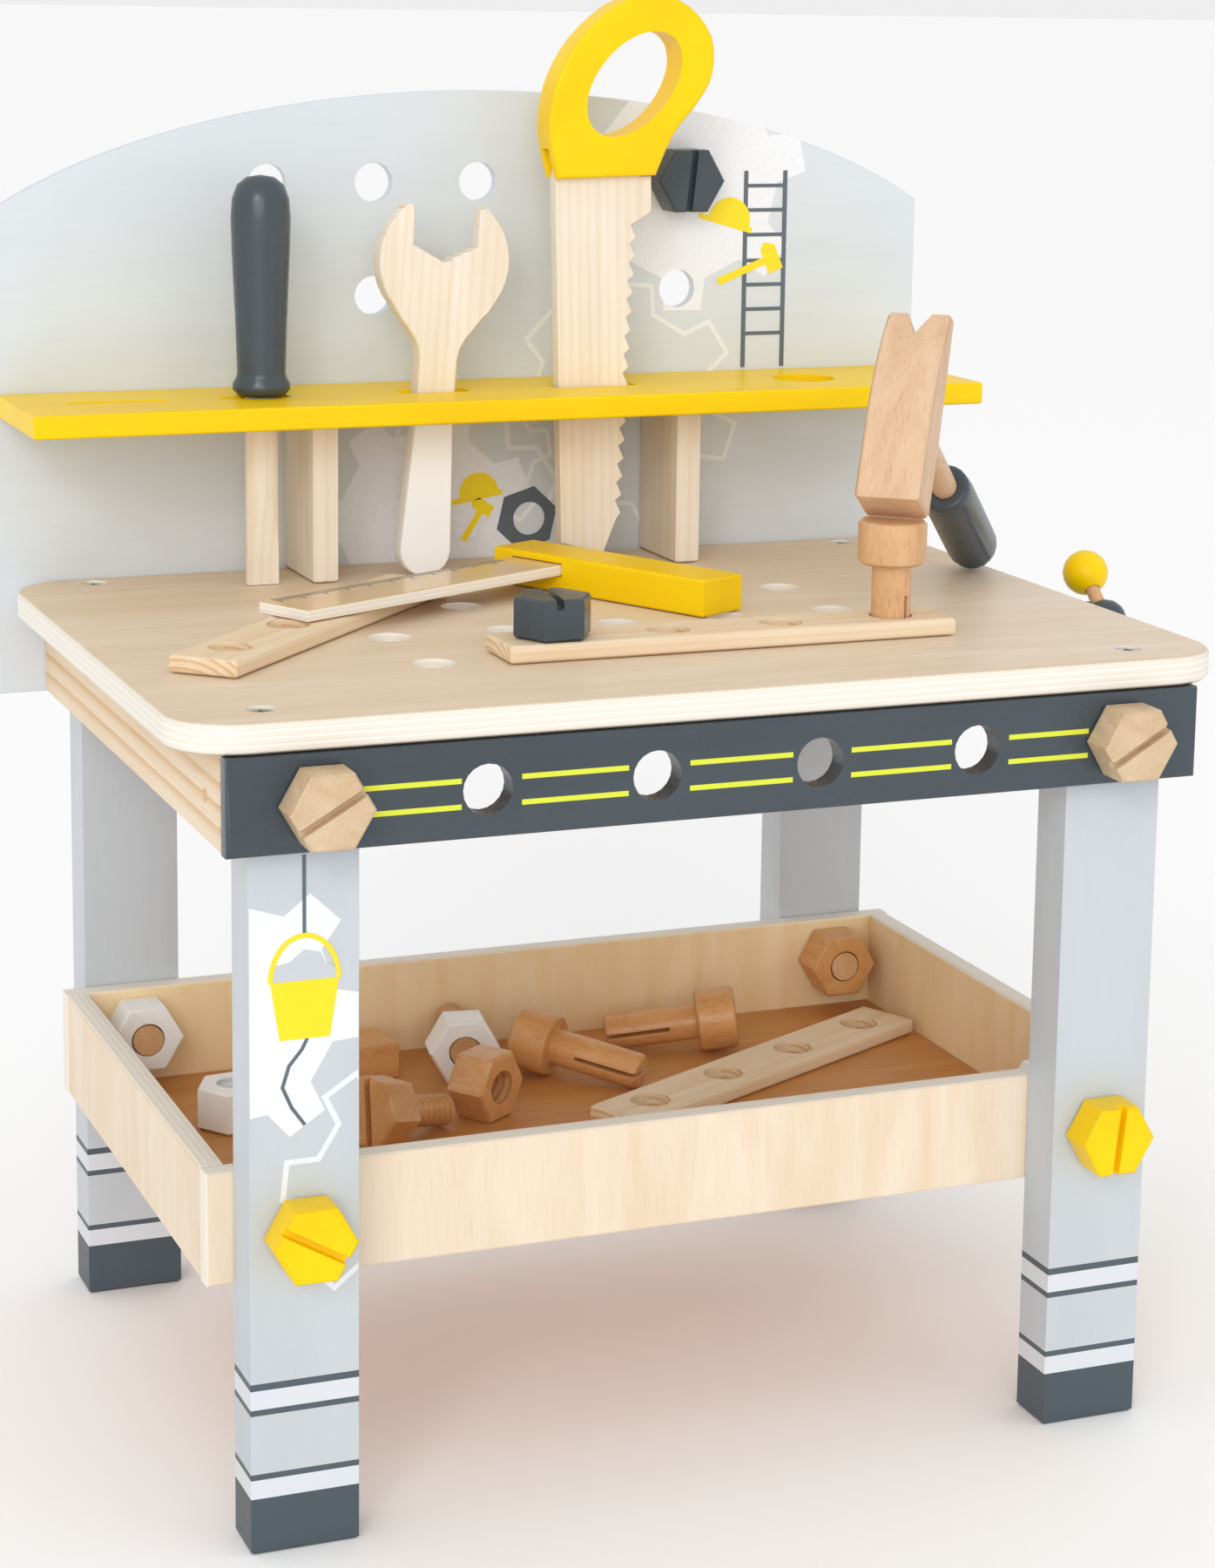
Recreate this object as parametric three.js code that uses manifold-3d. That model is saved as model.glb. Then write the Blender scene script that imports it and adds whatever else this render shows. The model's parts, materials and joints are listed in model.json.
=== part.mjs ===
// Toy tool bench: a wooden bench with a peg-hole worktop, a tool panel, a tray, a side vice and hand tools.
// Millimetres, +Z up, +X to the right, the working side faces -Y. The origin is under the whole object's middle.
import * as THREE from 'three';
import { mergeVertices } from 'three/addons/utils/BufferGeometryUtils.js';
import Module from 'manifold-3d';

const wasm = await Module();
wasm.setup();

// ---- driving dimensions ----
const gap = 0.3;                 // clearance kept between pieces that touch
const roundSides = 20;           // sides of a round hole or pin
const edgeRound = 1.2;           // softened edge of sanded boards

const worktopWidth = 430;
const worktopDepth = 298;
const worktopThick = 12;
const worktopCorner = 26;
const legHeight = 308;           // floor to the worktop's underside
const legWidth = 42;
const legDepth = 22.5;
const sideOverhang = 16.6;       // worktop past the side aprons
const apronThick = 10;
const apronHeight = 36.7;
const apronProud = 2;            // how far the front apron stands out past the worktop

const panelPastWorktop = 3.5;    // at each side
const panelThick = 6;
const shoulderAboveTop = 160;    // of the panel's square sides, above the worktop
const crownAboveTop = 210.7;
const archRunout = 41.5;         // the top edge's ellipse runs this far past each side

const shelfAboveTop = 82;
const shelfThick = 10;
const shelfPastWorktop = 2.5;
const shelfDepth = 75;
const postThick = 11.5;
const postDepth = 44;
const postX = [-84.3, 86];

const trayBottom = 98;
const trayHeight = 44.5;
const trayWall = 10;
const trayFloorThick = 3;

const pegHoleClearance = 0.75;
const holePitch = 49;            // along the worktop, and along the strips
const rowPitch = 54;             // from row to row of the worktop
const gridX = 3.8;               // middle of the worktop's holes
const gridY = -15.8;
const panelHolePitchX = 48.7;
const panelHolePitchZ = 50;
const panelHolesAboveTop = 170.5;
const apronHoleRadius = 9.7;
const apronHolePitch = 66.8;

const hexFlats = 28;             // across the flats of bolt heads and nuts
const headThick = 16.5;
const nutThick = 18.5;
const shankRadius = 6.75;
const boltClearance = 0.55;
const slotWidth = 3;
const slotDepth = 4;
const shortShank = 32;
const apronBoltInside = 3.3;     // nearer the middle than the leg's own middle
const apronBoltBelow = 18.2;     // below the apron's top
const trayBoltZ = 124.5;

const stripLength = 192;
const stripWidth = 29;
const stripThick = 7.2;
const pegHeadRadius = 14;
const pegHeadThick = 18;
const pegShankRadius = 8;
const pegShankLength = 42;
const pegStandsProud = 21.4;     // shank still showing above the strip
const pegSplit = 1.8;

const viceY = 32;
const viceBelowWorktop = 11;     // spindle below the worktop's underside
const viceOpening = 36.5;
const jawThick = 12;
const jawWidth = 74;
const jawHeight = 58;
const jawBelowWorktop = 4;
const guideRadius = 4;
const spindleInside = 62;        // spindle reaching in past the apron at rest
const spindleCollar = 6.5;       // between the jaw and the knob
const spindleCollarRadius = 9;
const knobRadius = 9.5;
const ballRadius = 10.4;
const barRadius = 3.2;
const barReach = 27;             // knob centre to ball centre
const barAngle = 43;             // of the bar above the horizontal
const guideAside = 26;           // guide pin from the spindle, along the jaw
const guideBelow = 12;
const guideSeat = 8;             // guide pin let into the jaw

// ---- colours ----
const finish = (color, roughness) => new THREE.MeshStandardMaterial({ color, roughness, metalness: 0 });
const birchPly = finish(0xe6cfa6, 0.6);
const pine = finish(0xebcfa3, 0.6);
const beech = finish(0xcfa27a, 0.55);
const lightGrey = finish(0xd3d7d8, 0.45);
const darkGrey = finish(0x515c64, 0.4);
const yellow = finish(0xfbdc00, 0.4);
const white = finish(0xf5f5f3, 0.45);

// ---- derived places ----
const bench = new THREE.Group();
const worktopTop = legHeight + worktopThick;
const frameWidth = worktopWidth - 2 * sideOverhang;
const panelWidth = worktopWidth + 2 * panelPastWorktop;
const shelfWidth = worktopWidth + 2 * shelfPastWorktop;
const pegHoleRadius = pegShankRadius + pegHoleClearance;
const boltHoleRadius = shankRadius + boltClearance;
const panelShoulder = worktopTop + shoulderAboveTop;
const panelCrown = worktopTop + crownAboveTop;
const archHalfSpan = panelWidth / 2 + archRunout;
const panelHoleTop = worktopTop + panelHolesAboveTop;
const shelfTop = worktopTop + shelfAboveTop;
const viceZ = legHeight - viceBelowWorktop;
const jawTop = legHeight - jawBelowWorktop;
const jawBottom = jawTop - jawHeight;
const panelFront = worktopDepth / 2 + gap;
const apronFront = -worktopDepth / 2 - apronProud;
const apronBack = apronFront + apronThick;
const apronTop = legHeight - gap;
const panelBottom = apronTop - apronHeight;
const apronBoltZ = apronTop - apronBoltBelow;
const sideOuter = frameWidth / 2;
const legOuter = sideOuter - apronThick - gap;
const legX = legOuter - legWidth / 2;
const apronBoltX = legX - apronBoltInside;
const frontLegY = apronBack + gap + legDepth / 2;
const rearLegY = panelFront - gap - legDepth / 2;
const trayFront = frontLegY + legDepth / 2 + gap;
const trayBack = rearLegY - legDepth / 2 - gap;
const trayFloorTop = trayBottom + trayFloorThick;
const shelfFront = panelFront - gap - shelfDepth;
const toolY = shelfFront + shelfDepth / 2;
const stripTop = worktopTop + gap + stripThick;
const frontRowY = gridY - rowPitch;
const guideY = viceY - guideAside;

// ---- small helpers ----
function solid(geometry) {
  const bare = geometry.clone();
  bare.deleteAttribute('normal');
  bare.deleteAttribute('uv');
  const merged = mergeVertices(bare, 1e-4);
  const vertProperties = new Float32Array(merged.attributes.position.array);
  const triVerts = new Uint32Array(merged.index.array);
  return new wasm.Manifold(new wasm.Mesh({ numProp: 3, vertProperties, triVerts }));
}

function geometryOf(manifold) {
  const mesh = manifold.getMesh();
  const geometry = new THREE.BufferGeometry();
  geometry.setAttribute('position', new THREE.BufferAttribute(mesh.vertProperties.slice(), 3));
  geometry.setIndex(new THREE.BufferAttribute(mesh.triVerts.slice(), 1));
  geometry.computeVertexNormals();
  return geometry;
}

function cut(geometry, ...tools) {
  return geometryOf(tools.reduce((body, tool) => body.subtract(solid(tool)), solid(geometry)));
}

function join(geometry, ...others) {
  return geometryOf(others.reduce((body, other) => body.add(solid(other)), solid(geometry)));
}

// A rod along an axis, from its middle point.
function rod(axis, radius, length, x, y, z, sides = roundSides) {
  const geometry = new THREE.CylinderGeometry(radius, radius, length, sides);
  if (axis === 'x') geometry.rotateZ(Math.PI / 2);
  if (axis === 'z') geometry.rotateX(Math.PI / 2);
  return geometry.translate(x, y, z);
}

function box(width, depth, height, x, y, z) {
  return new THREE.BoxGeometry(width, depth, height).translate(x, y, z);
}

function roundedOutline(width, depth, radius) {
  const x = width / 2;
  const y = depth / 2;
  const shape = new THREE.Shape();
  shape.moveTo(-x + radius, -y);
  shape.lineTo(x - radius, -y);
  shape.absarc(x - radius, -y + radius, radius, -Math.PI / 2, 0);
  shape.lineTo(x, y - radius);
  shape.absarc(x - radius, y - radius, radius, 0, Math.PI / 2);
  shape.lineTo(-x + radius, y);
  shape.absarc(-x + radius, y - radius, radius, Math.PI / 2, Math.PI);
  shape.lineTo(-x, -y + radius);
  shape.absarc(-x + radius, -y + radius, radius, Math.PI, Math.PI * 1.5);
  return shape;
}

function rectangle(width, depth) {
  const x = width / 2;
  const y = depth / 2;
  const corners = [[-x, -y], [x, -y], [x, y], [-x, y]];
  return new THREE.Shape(corners.map(([px, py]) => new THREE.Vector2(px, py)));
}

// A board cut to an outline in XY, its thickness along Z from 0, with softened edges.
function board(shape, thick, edge = edgeRound, curveSegments = 6, bevelSegments = 1) {
  const geometry = new THREE.ExtrudeGeometry(shape, {
    depth: thick - 2 * edge,
    bevelEnabled: edge > 0,
    bevelThickness: edge,
    bevelSize: edge,
    bevelOffset: -edge,
    bevelSegments,
    curveSegments,
  });
  return geometry.translate(0, 0, edge);
}

// The same board stood up, so that its outline's Y runs along Z and its thickness along Y from -thick to 0.
function standing(geometry) {
  return geometry.rotateX(Math.PI / 2);
}

function lathe(profile, sides = roundSides) {
  const points = profile.map(([radius, z]) => new THREE.Vector2(radius, z));
  return new THREE.LatheGeometry(points, sides).rotateX(Math.PI / 2);
}

function node(name, geometry, material, parent = bench) {
  const mesh = new THREE.Mesh(geometry, material);
  mesh.name = name;
  parent.add(mesh);
  return mesh;
}

const degrees = (angle) => THREE.MathUtils.degToRad(angle);

// Lays a piece whose own axis is +Z on its side: start is where its first face's middle goes.
function lay(mesh, start, heading, tilt = 0) {
  const axis = new THREE.Vector3(
    Math.cos(heading) * Math.cos(tilt), Math.sin(heading) * Math.cos(tilt), -Math.sin(tilt));
  const side = new THREE.Vector3(-Math.sin(heading), Math.cos(heading), 0);
  const up = new THREE.Vector3().crossVectors(axis, side);
  mesh.quaternion.setFromRotationMatrix(new THREE.Matrix4().makeBasis(side, up, axis));
  mesh.position.set(start[0], start[1], start[2]);
}

// A headed pin lying on a floor rests on its head's inner rim and on its tip.
function layPin(mesh, x, y, floor, heading, headRadius, headLength, tipRadius, tipLength) {
  const tilt = Math.atan((headRadius - tipRadius) / tipLength);
  const height = floor + gap + headLength * Math.sin(tilt) + headRadius * Math.cos(tilt);
  lay(mesh, [x, y, height], degrees(heading), tilt);
}

// ---- hardware shapes, each along +Z from its first face ----
function hexPrism(thick) {
  const radius = hexFlats / 2 / Math.cos(Math.PI / 6);
  const shape = new THREE.Shape();
  for (let corner = 0; corner < 6; corner += 1) {
    const angle = corner * Math.PI / 3;
    const x = radius * Math.cos(angle);
    const y = radius * Math.sin(angle);
    if (corner === 0) shape.moveTo(x, y);
    else shape.lineTo(x, y);
  }
  return board(shape, thick, edgeRound);
}

function boltShape(shankLength, slotAngle = 0) {
  const shank = rod('z', shankRadius, shankLength + 2, 0, 0, headThick + shankLength / 2 - 1);
  const slot = box(hexFlats * 1.5, slotWidth, slotDepth * 2, 0, 0, 0).rotateZ(degrees(slotAngle));
  return cut(join(hexPrism(headThick), shank), slot);
}

function nutShape() {
  return cut(hexPrism(nutThick), rod('z', boltHoleRadius, nutThick * 2, 0, 0, nutThick / 2));
}

function pegShape() {
  const round = 1.5;
  const tip = pegHeadThick + pegShankLength;
  const turned = lathe([
    [0, 0], [pegHeadRadius - round, 0], [pegHeadRadius, round], [pegHeadRadius, pegHeadThick - round],
    [pegHeadRadius - round, pegHeadThick], [pegShankRadius, pegHeadThick], [pegShankRadius, tip - round],
    [pegShankRadius - round, tip], [0, tip],
  ]);
  const splitLength = pegShankLength * 0.7;
  return cut(turned, box(pegShankRadius * 3, pegSplit, splitLength * 2, 0, 0, tip));
}

function stripShape() {
  const holes = [-1.5, -0.5, 0.5, 1.5].map((k) => rod('z', pegHoleRadius, 40, k * holePitch, 0, 0));
  return cut(board(rectangle(stripLength, stripWidth), stripThick), ...holes);
}

// ---- worktop ----
const worktopHoles = [];
for (const column of [-2, -1, 0, 1, 2]) {
  for (const row of [-1, 0, 1]) {
    const x = gridX + column * holePitch;
    const y = gridY + row * rowPitch;
    worktopHoles.push(rod('z', pegHoleRadius, 60, x, y, worktopThick / 2));
  }
}
const screwX = legX + 12;
for (const side of [-1, 1]) {
  for (const y of [frontLegY + 2, rearLegY]) {
    worktopHoles.push(rod('z', 5.6, 8, side * screwX, y, worktopThick + 1.2, 16));
    worktopHoles.push(rod('z', 2.3, 60, side * screwX, y, 0, 12));
  }
}
const worktopBoard = board(roundedOutline(worktopWidth, worktopDepth, worktopCorner), worktopThick, 1.5, 6, 1);
const worktop = node('worktop', cut(worktopBoard, ...worktopHoles), birchPly);
worktop.position.z = legHeight;

// ---- frame: aprons and legs ----
const frontHoles = [-1.5, -0.5, 0.5, 1.5].map(
  (k) => rod('y', apronHoleRadius, 60, k * apronHolePitch, 0, apronHeight / 2));
for (const side of [-1, 1]) {
  frontHoles.push(rod('y', boltHoleRadius, 60, side * apronBoltX, 0, apronBoltZ - (apronTop - apronHeight)));
}
const frontBoard = standing(board(rectangle(frameWidth, apronHeight), apronThick, 2, 1, 2));
frontBoard.translate(0, apronThick, apronHeight / 2);
const frontApron = node('front_apron', cut(frontBoard, ...frontHoles), darkGrey);
frontApron.position.set(0, apronFront, apronTop - apronHeight);

const sideLength = panelFront - gap - (apronBack + gap);
for (const [side, name] of [[-1, 'left_apron'], [1, 'right_apron']]) {
  let geometry = board(rectangle(apronHeight, sideLength), apronThick, 0.8).rotateY(Math.PI / 2);
  geometry.translate(-apronThick / 2, 0, 0);
  if (side === 1) {
    const localY = (y) => y - (apronBack + gap + sideLength / 2);
    const localZ = viceZ - (apronTop - apronHeight / 2);
    geometry = cut(geometry,
      rod('x', boltHoleRadius, 60, 0, localY(viceY), localZ),
      rod('x', guideRadius + 0.5, 60, 0, localY(guideY), localZ - guideBelow, 16));
  }
  const apron = node(name, geometry, pine);
  apron.position.set(side * (sideOuter - apronThick / 2), apronBack + gap + sideLength / 2, apronTop - apronHeight / 2);
}

for (const side of [-1, 1]) {
  for (const [y, place] of [[frontLegY, 'front'], [rearLegY, 'rear']]) {
    const holes = [rod('y', boltHoleRadius, 60, 0, 0, trayBoltZ)];
    if (place === 'front') holes.push(rod('y', boltHoleRadius, 60, side * (apronBoltX - legX), 0, apronBoltZ));
    const stock = board(rectangle(legWidth, legDepth), legHeight - gap, edgeRound, 1, 1);
    const leg = node(`${place}_leg_${side < 0 ? 'left' : 'right'}`, cut(stock, ...holes), lightGrey);
    leg.position.set(side * legX, y, 0);
  }
}

// ---- tool panel ----
const panelShape = new THREE.Shape();
const archStart = Math.acos(panelWidth / 2 / archHalfSpan);
const archHeight = (panelCrown - panelShoulder) / (1 - Math.sin(archStart));
panelShape.moveTo(-panelWidth / 2, panelBottom);
panelShape.lineTo(panelWidth / 2, panelBottom);
panelShape.absellipse(0, panelCrown - archHeight, archHalfSpan, archHeight, archStart, Math.PI - archStart);
const panelHoles = [];
for (const column of [-2, -1, 0, 1, 2]) {
  for (const row of [0, 1]) {
    const z = panelHoleTop - row * panelHolePitchZ;
    panelHoles.push(rod('y', pegHoleRadius, 60, column * panelHolePitchX, 0, z));
  }
}
const panelBoard = standing(board(panelShape, panelThick, 0.6, 20)).translate(0, panelThick, 0);
const backPanel = node('back_panel', cut(panelBoard, ...panelHoles), lightGrey);
backPanel.position.y = panelFront;

// ---- tool shelf on its two posts ----
const driverX = -111;
const driverShaftRadius = 7.2;
const wrenchLean = 3.8;
const wrenchFootX = -38;
const wrenchEndRadius = 11.8;
const wrenchThick = 10;
const sawLean = -1.6;
const sawFootX = 26;
const sawFootHeight = 12;        // the blade's heel above the worktop, its tip lower
const sawBladeThick = 7.5;
const sawSlotLength = 39;
const freeSlotLength = 42;
const freeSlotX = -174;
const driverHoleRadius = driverShaftRadius + 1.8;
const hammerHoleX = 145;
const hammerHoleRadius = 14.4;

const wrenchAtShelf = wrenchFootX + (shelfTop - worktopTop - wrenchEndRadius) * Math.tan(degrees(wrenchLean));
const sawAtShelf = sawFootX + (shelfTop - worktopTop - sawFootHeight) * Math.tan(degrees(sawLean)) + 17.5;
const shelfSlots = [
  box(freeSlotLength, 6, 40, freeSlotX, toolY, 0),
  rod('z', driverHoleRadius, 40, driverX, toolY, 0),
  box(30, 8, 40, driverX - 3, toolY, 0),
  box(2 * wrenchEndRadius + 7, wrenchThick + 2, 40, wrenchAtShelf, toolY, 0),
  box(sawSlotLength, sawBladeThick + 2, 40, sawAtShelf, toolY, 0),
  rod('z', hammerHoleRadius, 40, hammerHoleX, toolY, 0),
];
const shelfBoard = board(rectangle(shelfWidth, shelfDepth), shelfThick, 1.2, 1, 2);
shelfBoard.translate(0, toolY, -shelfThick);
const shelf = node('tool_shelf', cut(shelfBoard, ...shelfSlots), yellow);
shelf.position.z = shelfTop;

const postHeight = shelfTop - shelfThick - worktopTop - 2 * gap;
for (const [index, name] of ['shelf_post_left', 'shelf_post_right'].entries()) {
  const post = node(name, board(rectangle(postThick, postDepth), postHeight, edgeRound), pine);
  post.position.set(postX[index], panelFront - gap - postDepth / 2, worktopTop + gap);
}

// ---- tray ----
const trayLength = frameWidth;
const trayInner = trayLength - 2 * trayWall;
const trayInnerDepth = trayBack - trayFront - 2 * trayWall;
const trayMiddleY = (trayFront + trayBack) / 2;
for (const [name, y] of [['tray_front_wall', trayFront], ['tray_rear_wall', trayBack - trayWall]]) {
  const holes = [-1, 1].map((side) => rod('y', boltHoleRadius, 60, side * legX, 0, trayBoltZ - trayBottom));
  const wall = standing(board(rectangle(trayLength, trayHeight), trayWall, 1.5, 1, 2));
  wall.translate(0, trayWall, trayHeight / 2);
  const mesh = node(name, cut(wall, ...holes), birchPly);
  mesh.position.set(0, y, trayBottom);
}
for (const [name, side] of [['tray_left_wall', -1], ['tray_right_wall', 1]]) {
  const wall = board(rectangle(trayHeight, trayInnerDepth - 2 * gap), trayWall, 1.2).rotateY(Math.PI / 2);
  const mesh = node(name, wall, birchPly);
  mesh.position.set(side * (trayLength / 2 - trayWall / 2) - trayWall / 2, trayMiddleY, trayBottom + trayHeight / 2);
}
const trayFloor = node('tray_floor',
  box(trayInner - 2 * gap, trayInnerDepth - 2 * gap, trayFloorThick, 0, 0, trayFloorThick / 2), birchPly);
trayFloor.position.set(0, trayMiddleY, trayBottom);

// ---- frame bolts with their nuts ----
// Placed with the head's outer face at y, the shank running along `direction`.
function throughBolt(name, x, z, seatY, direction, clamped, slotAngle, material, nutMaterial) {
  const shank = clamped + 3 * gap + nutThick;
  const bolt = node(`${name}_bolt`, boltShape(shank, slotAngle), material);
  bolt.rotation.x = direction > 0 ? -Math.PI / 2 : Math.PI / 2;
  bolt.position.set(x, seatY - direction * (headThick + gap), z);
  const nut = node(`${name}_nut`, nutShape(), nutMaterial);
  nut.rotation.x = bolt.rotation.x;
  nut.position.set(x, seatY + direction * (clamped + gap), z);
}

const apronClamp = apronThick + gap + legDepth;
throughBolt('apron_left', -apronBoltX, apronBoltZ, apronFront, 1, apronClamp, -30, beech, beech);
throughBolt('apron_right', apronBoltX, apronBoltZ, apronFront, 1, apronClamp, -30, beech, beech);
const trayClamp = legDepth + gap + trayWall;
const legFrontFace = frontLegY - legDepth / 2;
throughBolt('tray_front_left', -legX, trayBoltZ, legFrontFace, 1, trayClamp, 30, yellow, beech);
throughBolt('tray_front_right', legX, trayBoltZ, legFrontFace, 1, trayClamp, -84, yellow, white);
throughBolt('tray_rear_left', -legX, trayBoltZ, rearLegY + legDepth / 2, -1, trayClamp, 30, beech, white);
throughBolt('tray_rear_right', legX, trayBoltZ, rearLegY + legDepth / 2, -1, trayClamp, -30, beech, beech);
throughBolt('panel', 2 * panelHolePitchX, panelHoleTop, panelFront, 1, panelThick, -84, darkGrey, beech);

// ---- screwdriver ----
const driver = new THREE.Group();
driver.position.set(driverX, toolY, worktopTop + gap);
bench.add(driver);
const driverSeat = shelfTop - worktopTop + gap;
const handleGrip = lathe([
  [0, 0], [10, 0], [12.4, 2.6], [12.4, 5], [10.8, 8], [10.4, 10], [11, 30], [12.4, 62], [12.8, 76],
  [12.2, 84], [10, 90], [6, 93.2], [0, 94.2],
]).translate(0, 0, driverSeat);
const shaftIntoHandle = 30;
const handleBore = rod('z', driverShaftRadius + gap, 2 * (shaftIntoHandle + gap), 0, 0, driverSeat);
node('screwdriver_handle', cut(handleGrip, handleBore), darkGrey, driver);
const shaftLength = driverSeat + shaftIntoHandle;
const wedge = [[-2.2, -1], [2.2, -1], [2.6, 12], [9, 52], [-9, 52], [-2.6, 12]];
const wedgeShape = new THREE.Shape(wedge.map(([y, z]) => new THREE.Vector2(y, z)));
const wedgeBlock = new THREE.ExtrudeGeometry(wedgeShape, { depth: 30, bevelEnabled: false });
standing(wedgeBlock.translate(0, 0, -15)).rotateZ(Math.PI / 2);
const shaftRod = rod('z', driverShaftRadius, shaftLength, 0, 0, shaftLength / 2);
const shaftUpper = box(40, 40, shaftLength, 0, 0, 51 + shaftLength / 2);
const shaftShape = geometryOf(solid(shaftRod).intersect(solid(wedgeBlock).add(solid(shaftUpper))));
node('screwdriver_shaft', shaftShape, beech, driver);

// ---- wrench, cut from one board ----
const headRadius = 30;
const headHeight = 127;
const jawHalf = 14.8;
const neckHalf = 8.8;
const wrenchShape = new THREE.Shape();
wrenchShape.moveTo(neckHalf, 56);
wrenchShape.lineTo(neckHalf, 84);
wrenchShape.bezierCurveTo(neckHalf, 93, 17, 98, 22.4, 107);
wrenchShape.absarc(0, headHeight, headRadius, degrees(-42), degrees(53));
wrenchShape.lineTo(jawHalf, headHeight + 23);
wrenchShape.lineTo(jawHalf, headHeight + 6.5);
wrenchShape.lineTo(0, headHeight - 0.5);
wrenchShape.lineTo(-jawHalf, headHeight + 6.5);
wrenchShape.lineTo(-jawHalf, headHeight + 23);
wrenchShape.absarc(0, headHeight, headRadius, degrees(127), degrees(222));
wrenchShape.bezierCurveTo(-17, 98, -neckHalf, 93, -neckHalf, 84);
wrenchShape.lineTo(-neckHalf, 56);
wrenchShape.lineTo(-wrenchEndRadius, 0);
wrenchShape.absarc(0, 0, wrenchEndRadius, Math.PI, Math.PI * 2);
const wrenchGeometry = standing(board(wrenchShape, wrenchThick, 1, 5));
wrenchGeometry.translate(0, wrenchThick / 2, 0);
const wrench = node('wrench', wrenchGeometry, pine);
wrench.rotation.y = degrees(wrenchLean);
wrench.position.set(wrenchFootX, toolY, worktopTop + gap + wrenchEndRadius);

// ---- saw: toothed blade let into a looped handle ----
const saw = new THREE.Group();
saw.rotation.y = degrees(sawLean);
saw.position.set(sawFootX, toolY, worktopTop + sawFootHeight);
bench.add(saw);
const sawHandleFoot = 162;
const sawHandleThick = 18;
const toothPitch = 8.2;
const toothDepth = 2.4;
const bladeShape = new THREE.Shape();
bladeShape.moveTo(0, 0);
bladeShape.lineTo(20, -7);
bladeShape.lineTo(27, 9);
for (let tooth = 0; tooth < 16; tooth += 1) {
  const v = 9 + tooth * toothPitch;
  const u = 29 + (v - 9) * 0.0735;
  bladeShape.lineTo(u, v + toothPitch * 0.3);
  bladeShape.lineTo(u - toothDepth, v + toothPitch);
}
bladeShape.lineTo(45.5, 145.5);
bladeShape.lineTo(45.5, sawHandleFoot - gap);
bladeShape.lineTo(40, sawHandleFoot - gap);
bladeShape.lineTo(34, 174);
bladeShape.lineTo(3, 174);
bladeShape.lineTo(0, sawHandleFoot);
const bladeGeometry = standing(board(bladeShape, sawBladeThick, 0.6, 4)).translate(0, sawBladeThick / 2, 0);
node('saw_blade', bladeGeometry, pine, saw);

const handleShape = new THREE.Shape();
handleShape.moveTo(46, sawHandleFoot);
handleShape.splineThru([[55, 180], [66, 192.5], [73.5, 205], [73.5, 222], [62, 236], [46, 240.7], [29, 237],
  [11, 222.5], [0, 205], [-4, 188], [-3.2, 175], [-0.5, sawHandleFoot]].map(([u, v]) => new THREE.Vector2(u, v)));
const loopCentre = [36, 202.3];
const loopPath = new THREE.Shape();
loopPath.absellipse(loopCentre[0], loopCentre[1], 27.2, 17, 0, Math.PI * 2, false, degrees(45));
const loopCutter = standing(new THREE.ExtrudeGeometry(loopPath, { depth: 60, bevelEnabled: false, curveSegments: 22 }));
loopCutter.translate(0, 30, 0);
const handleBoard = standing(board(handleShape, sawHandleThick, 2, 3, 2)).translate(0, sawHandleThick / 2, 0);
const tongueSlot = box(60, sawBladeThick + 2 * gap, 26, 21, 0, sawHandleFoot);
node('saw_handle', cut(handleBoard, loopCutter, tongueSlot), yellow, saw);

// ---- strips with holes ----
const workStrip = node('work_strip', stripShape(), pine);
const boltColumnX = gridX - holePitch;
const pegColumnX = gridX + 2 * holePitch;
workStrip.position.set((boltColumnX + pegColumnX) / 2, frontRowY, worktopTop + gap);
const leaningStripTurn = 46.9;
const crossedStrip = node('crossed_strip', stripShape(), pine);
crossedStrip.rotation.z = degrees(leaningStripTurn);
crossedStrip.position.set(-119.2, 2.9, worktopTop + gap);
const trayStrip = node('tray_strip', stripShape(), pine);
trayStrip.rotation.z = degrees(27);
trayStrip.position.set(92.5, 29.4, trayFloorTop + gap);

// ---- bolt and peg standing in the work strip ----
const stripBolt = node('strip_bolt', boltShape(shortShank, 97), darkGrey);
stripBolt.rotation.x = Math.PI;
stripBolt.position.set(boltColumnX, frontRowY, stripTop + gap + headThick);
const pegTop = stripTop + pegStandsProud + pegHeadThick;
const workPeg = node('work_peg', pegShape(), beech);
workPeg.rotation.set(Math.PI, 0, degrees(64));
workPeg.position.set(pegColumnX, frontRowY, pegTop);

// ---- hammer, leaning with its face on the peg and its grip on the worktop ----
const hammerWidth = 27;
const hammerDepth = 22;
const hammerEye = 43.6;
const hammerTilt = -28.8;
const hammerTurn = -39.4;
const hammer = new THREE.Group();
hammer.rotation.set(degrees(hammerTilt), 0, degrees(hammerTurn), 'ZXY');
const faceDrop = hammerDepth / 2 * Math.sin(degrees(-hammerTilt));
hammer.position.set(pegColumnX - 3.3, frontRowY - 4.9, pegTop + gap + faceDrop);
bench.add(hammer);
const hammerProfile = new THREE.Shape();
hammerProfile.moveTo(-hammerDepth / 2, 0);
hammerProfile.lineTo(hammerDepth / 2, 0);
hammerProfile.lineTo(hammerDepth / 2, 34);
hammerProfile.quadraticCurveTo(9.5, 58, 7.5, 86);
hammerProfile.lineTo(2, 86);
hammerProfile.quadraticCurveTo(-9.5, 66, -hammerDepth / 2, 38);
const hammerBlock = board(hammerProfile, hammerWidth, 1.5, 6, 1);
hammerBlock.rotateX(Math.PI / 2).rotateZ(Math.PI / 2).translate(-hammerWidth / 2, 0, 0);
const notch = new THREE.Shape([[-7, 90], [7, 90], [0, 75]].map(([x, z]) => new THREE.Vector2(x, z)));
const notchCutter = standing(new THREE.ExtrudeGeometry(notch, { depth: 60, bevelEnabled: false }));
notchCutter.translate(0, 30, 0);
const handleRadius = 5.6;
const eyeBottom = -6;
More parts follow.
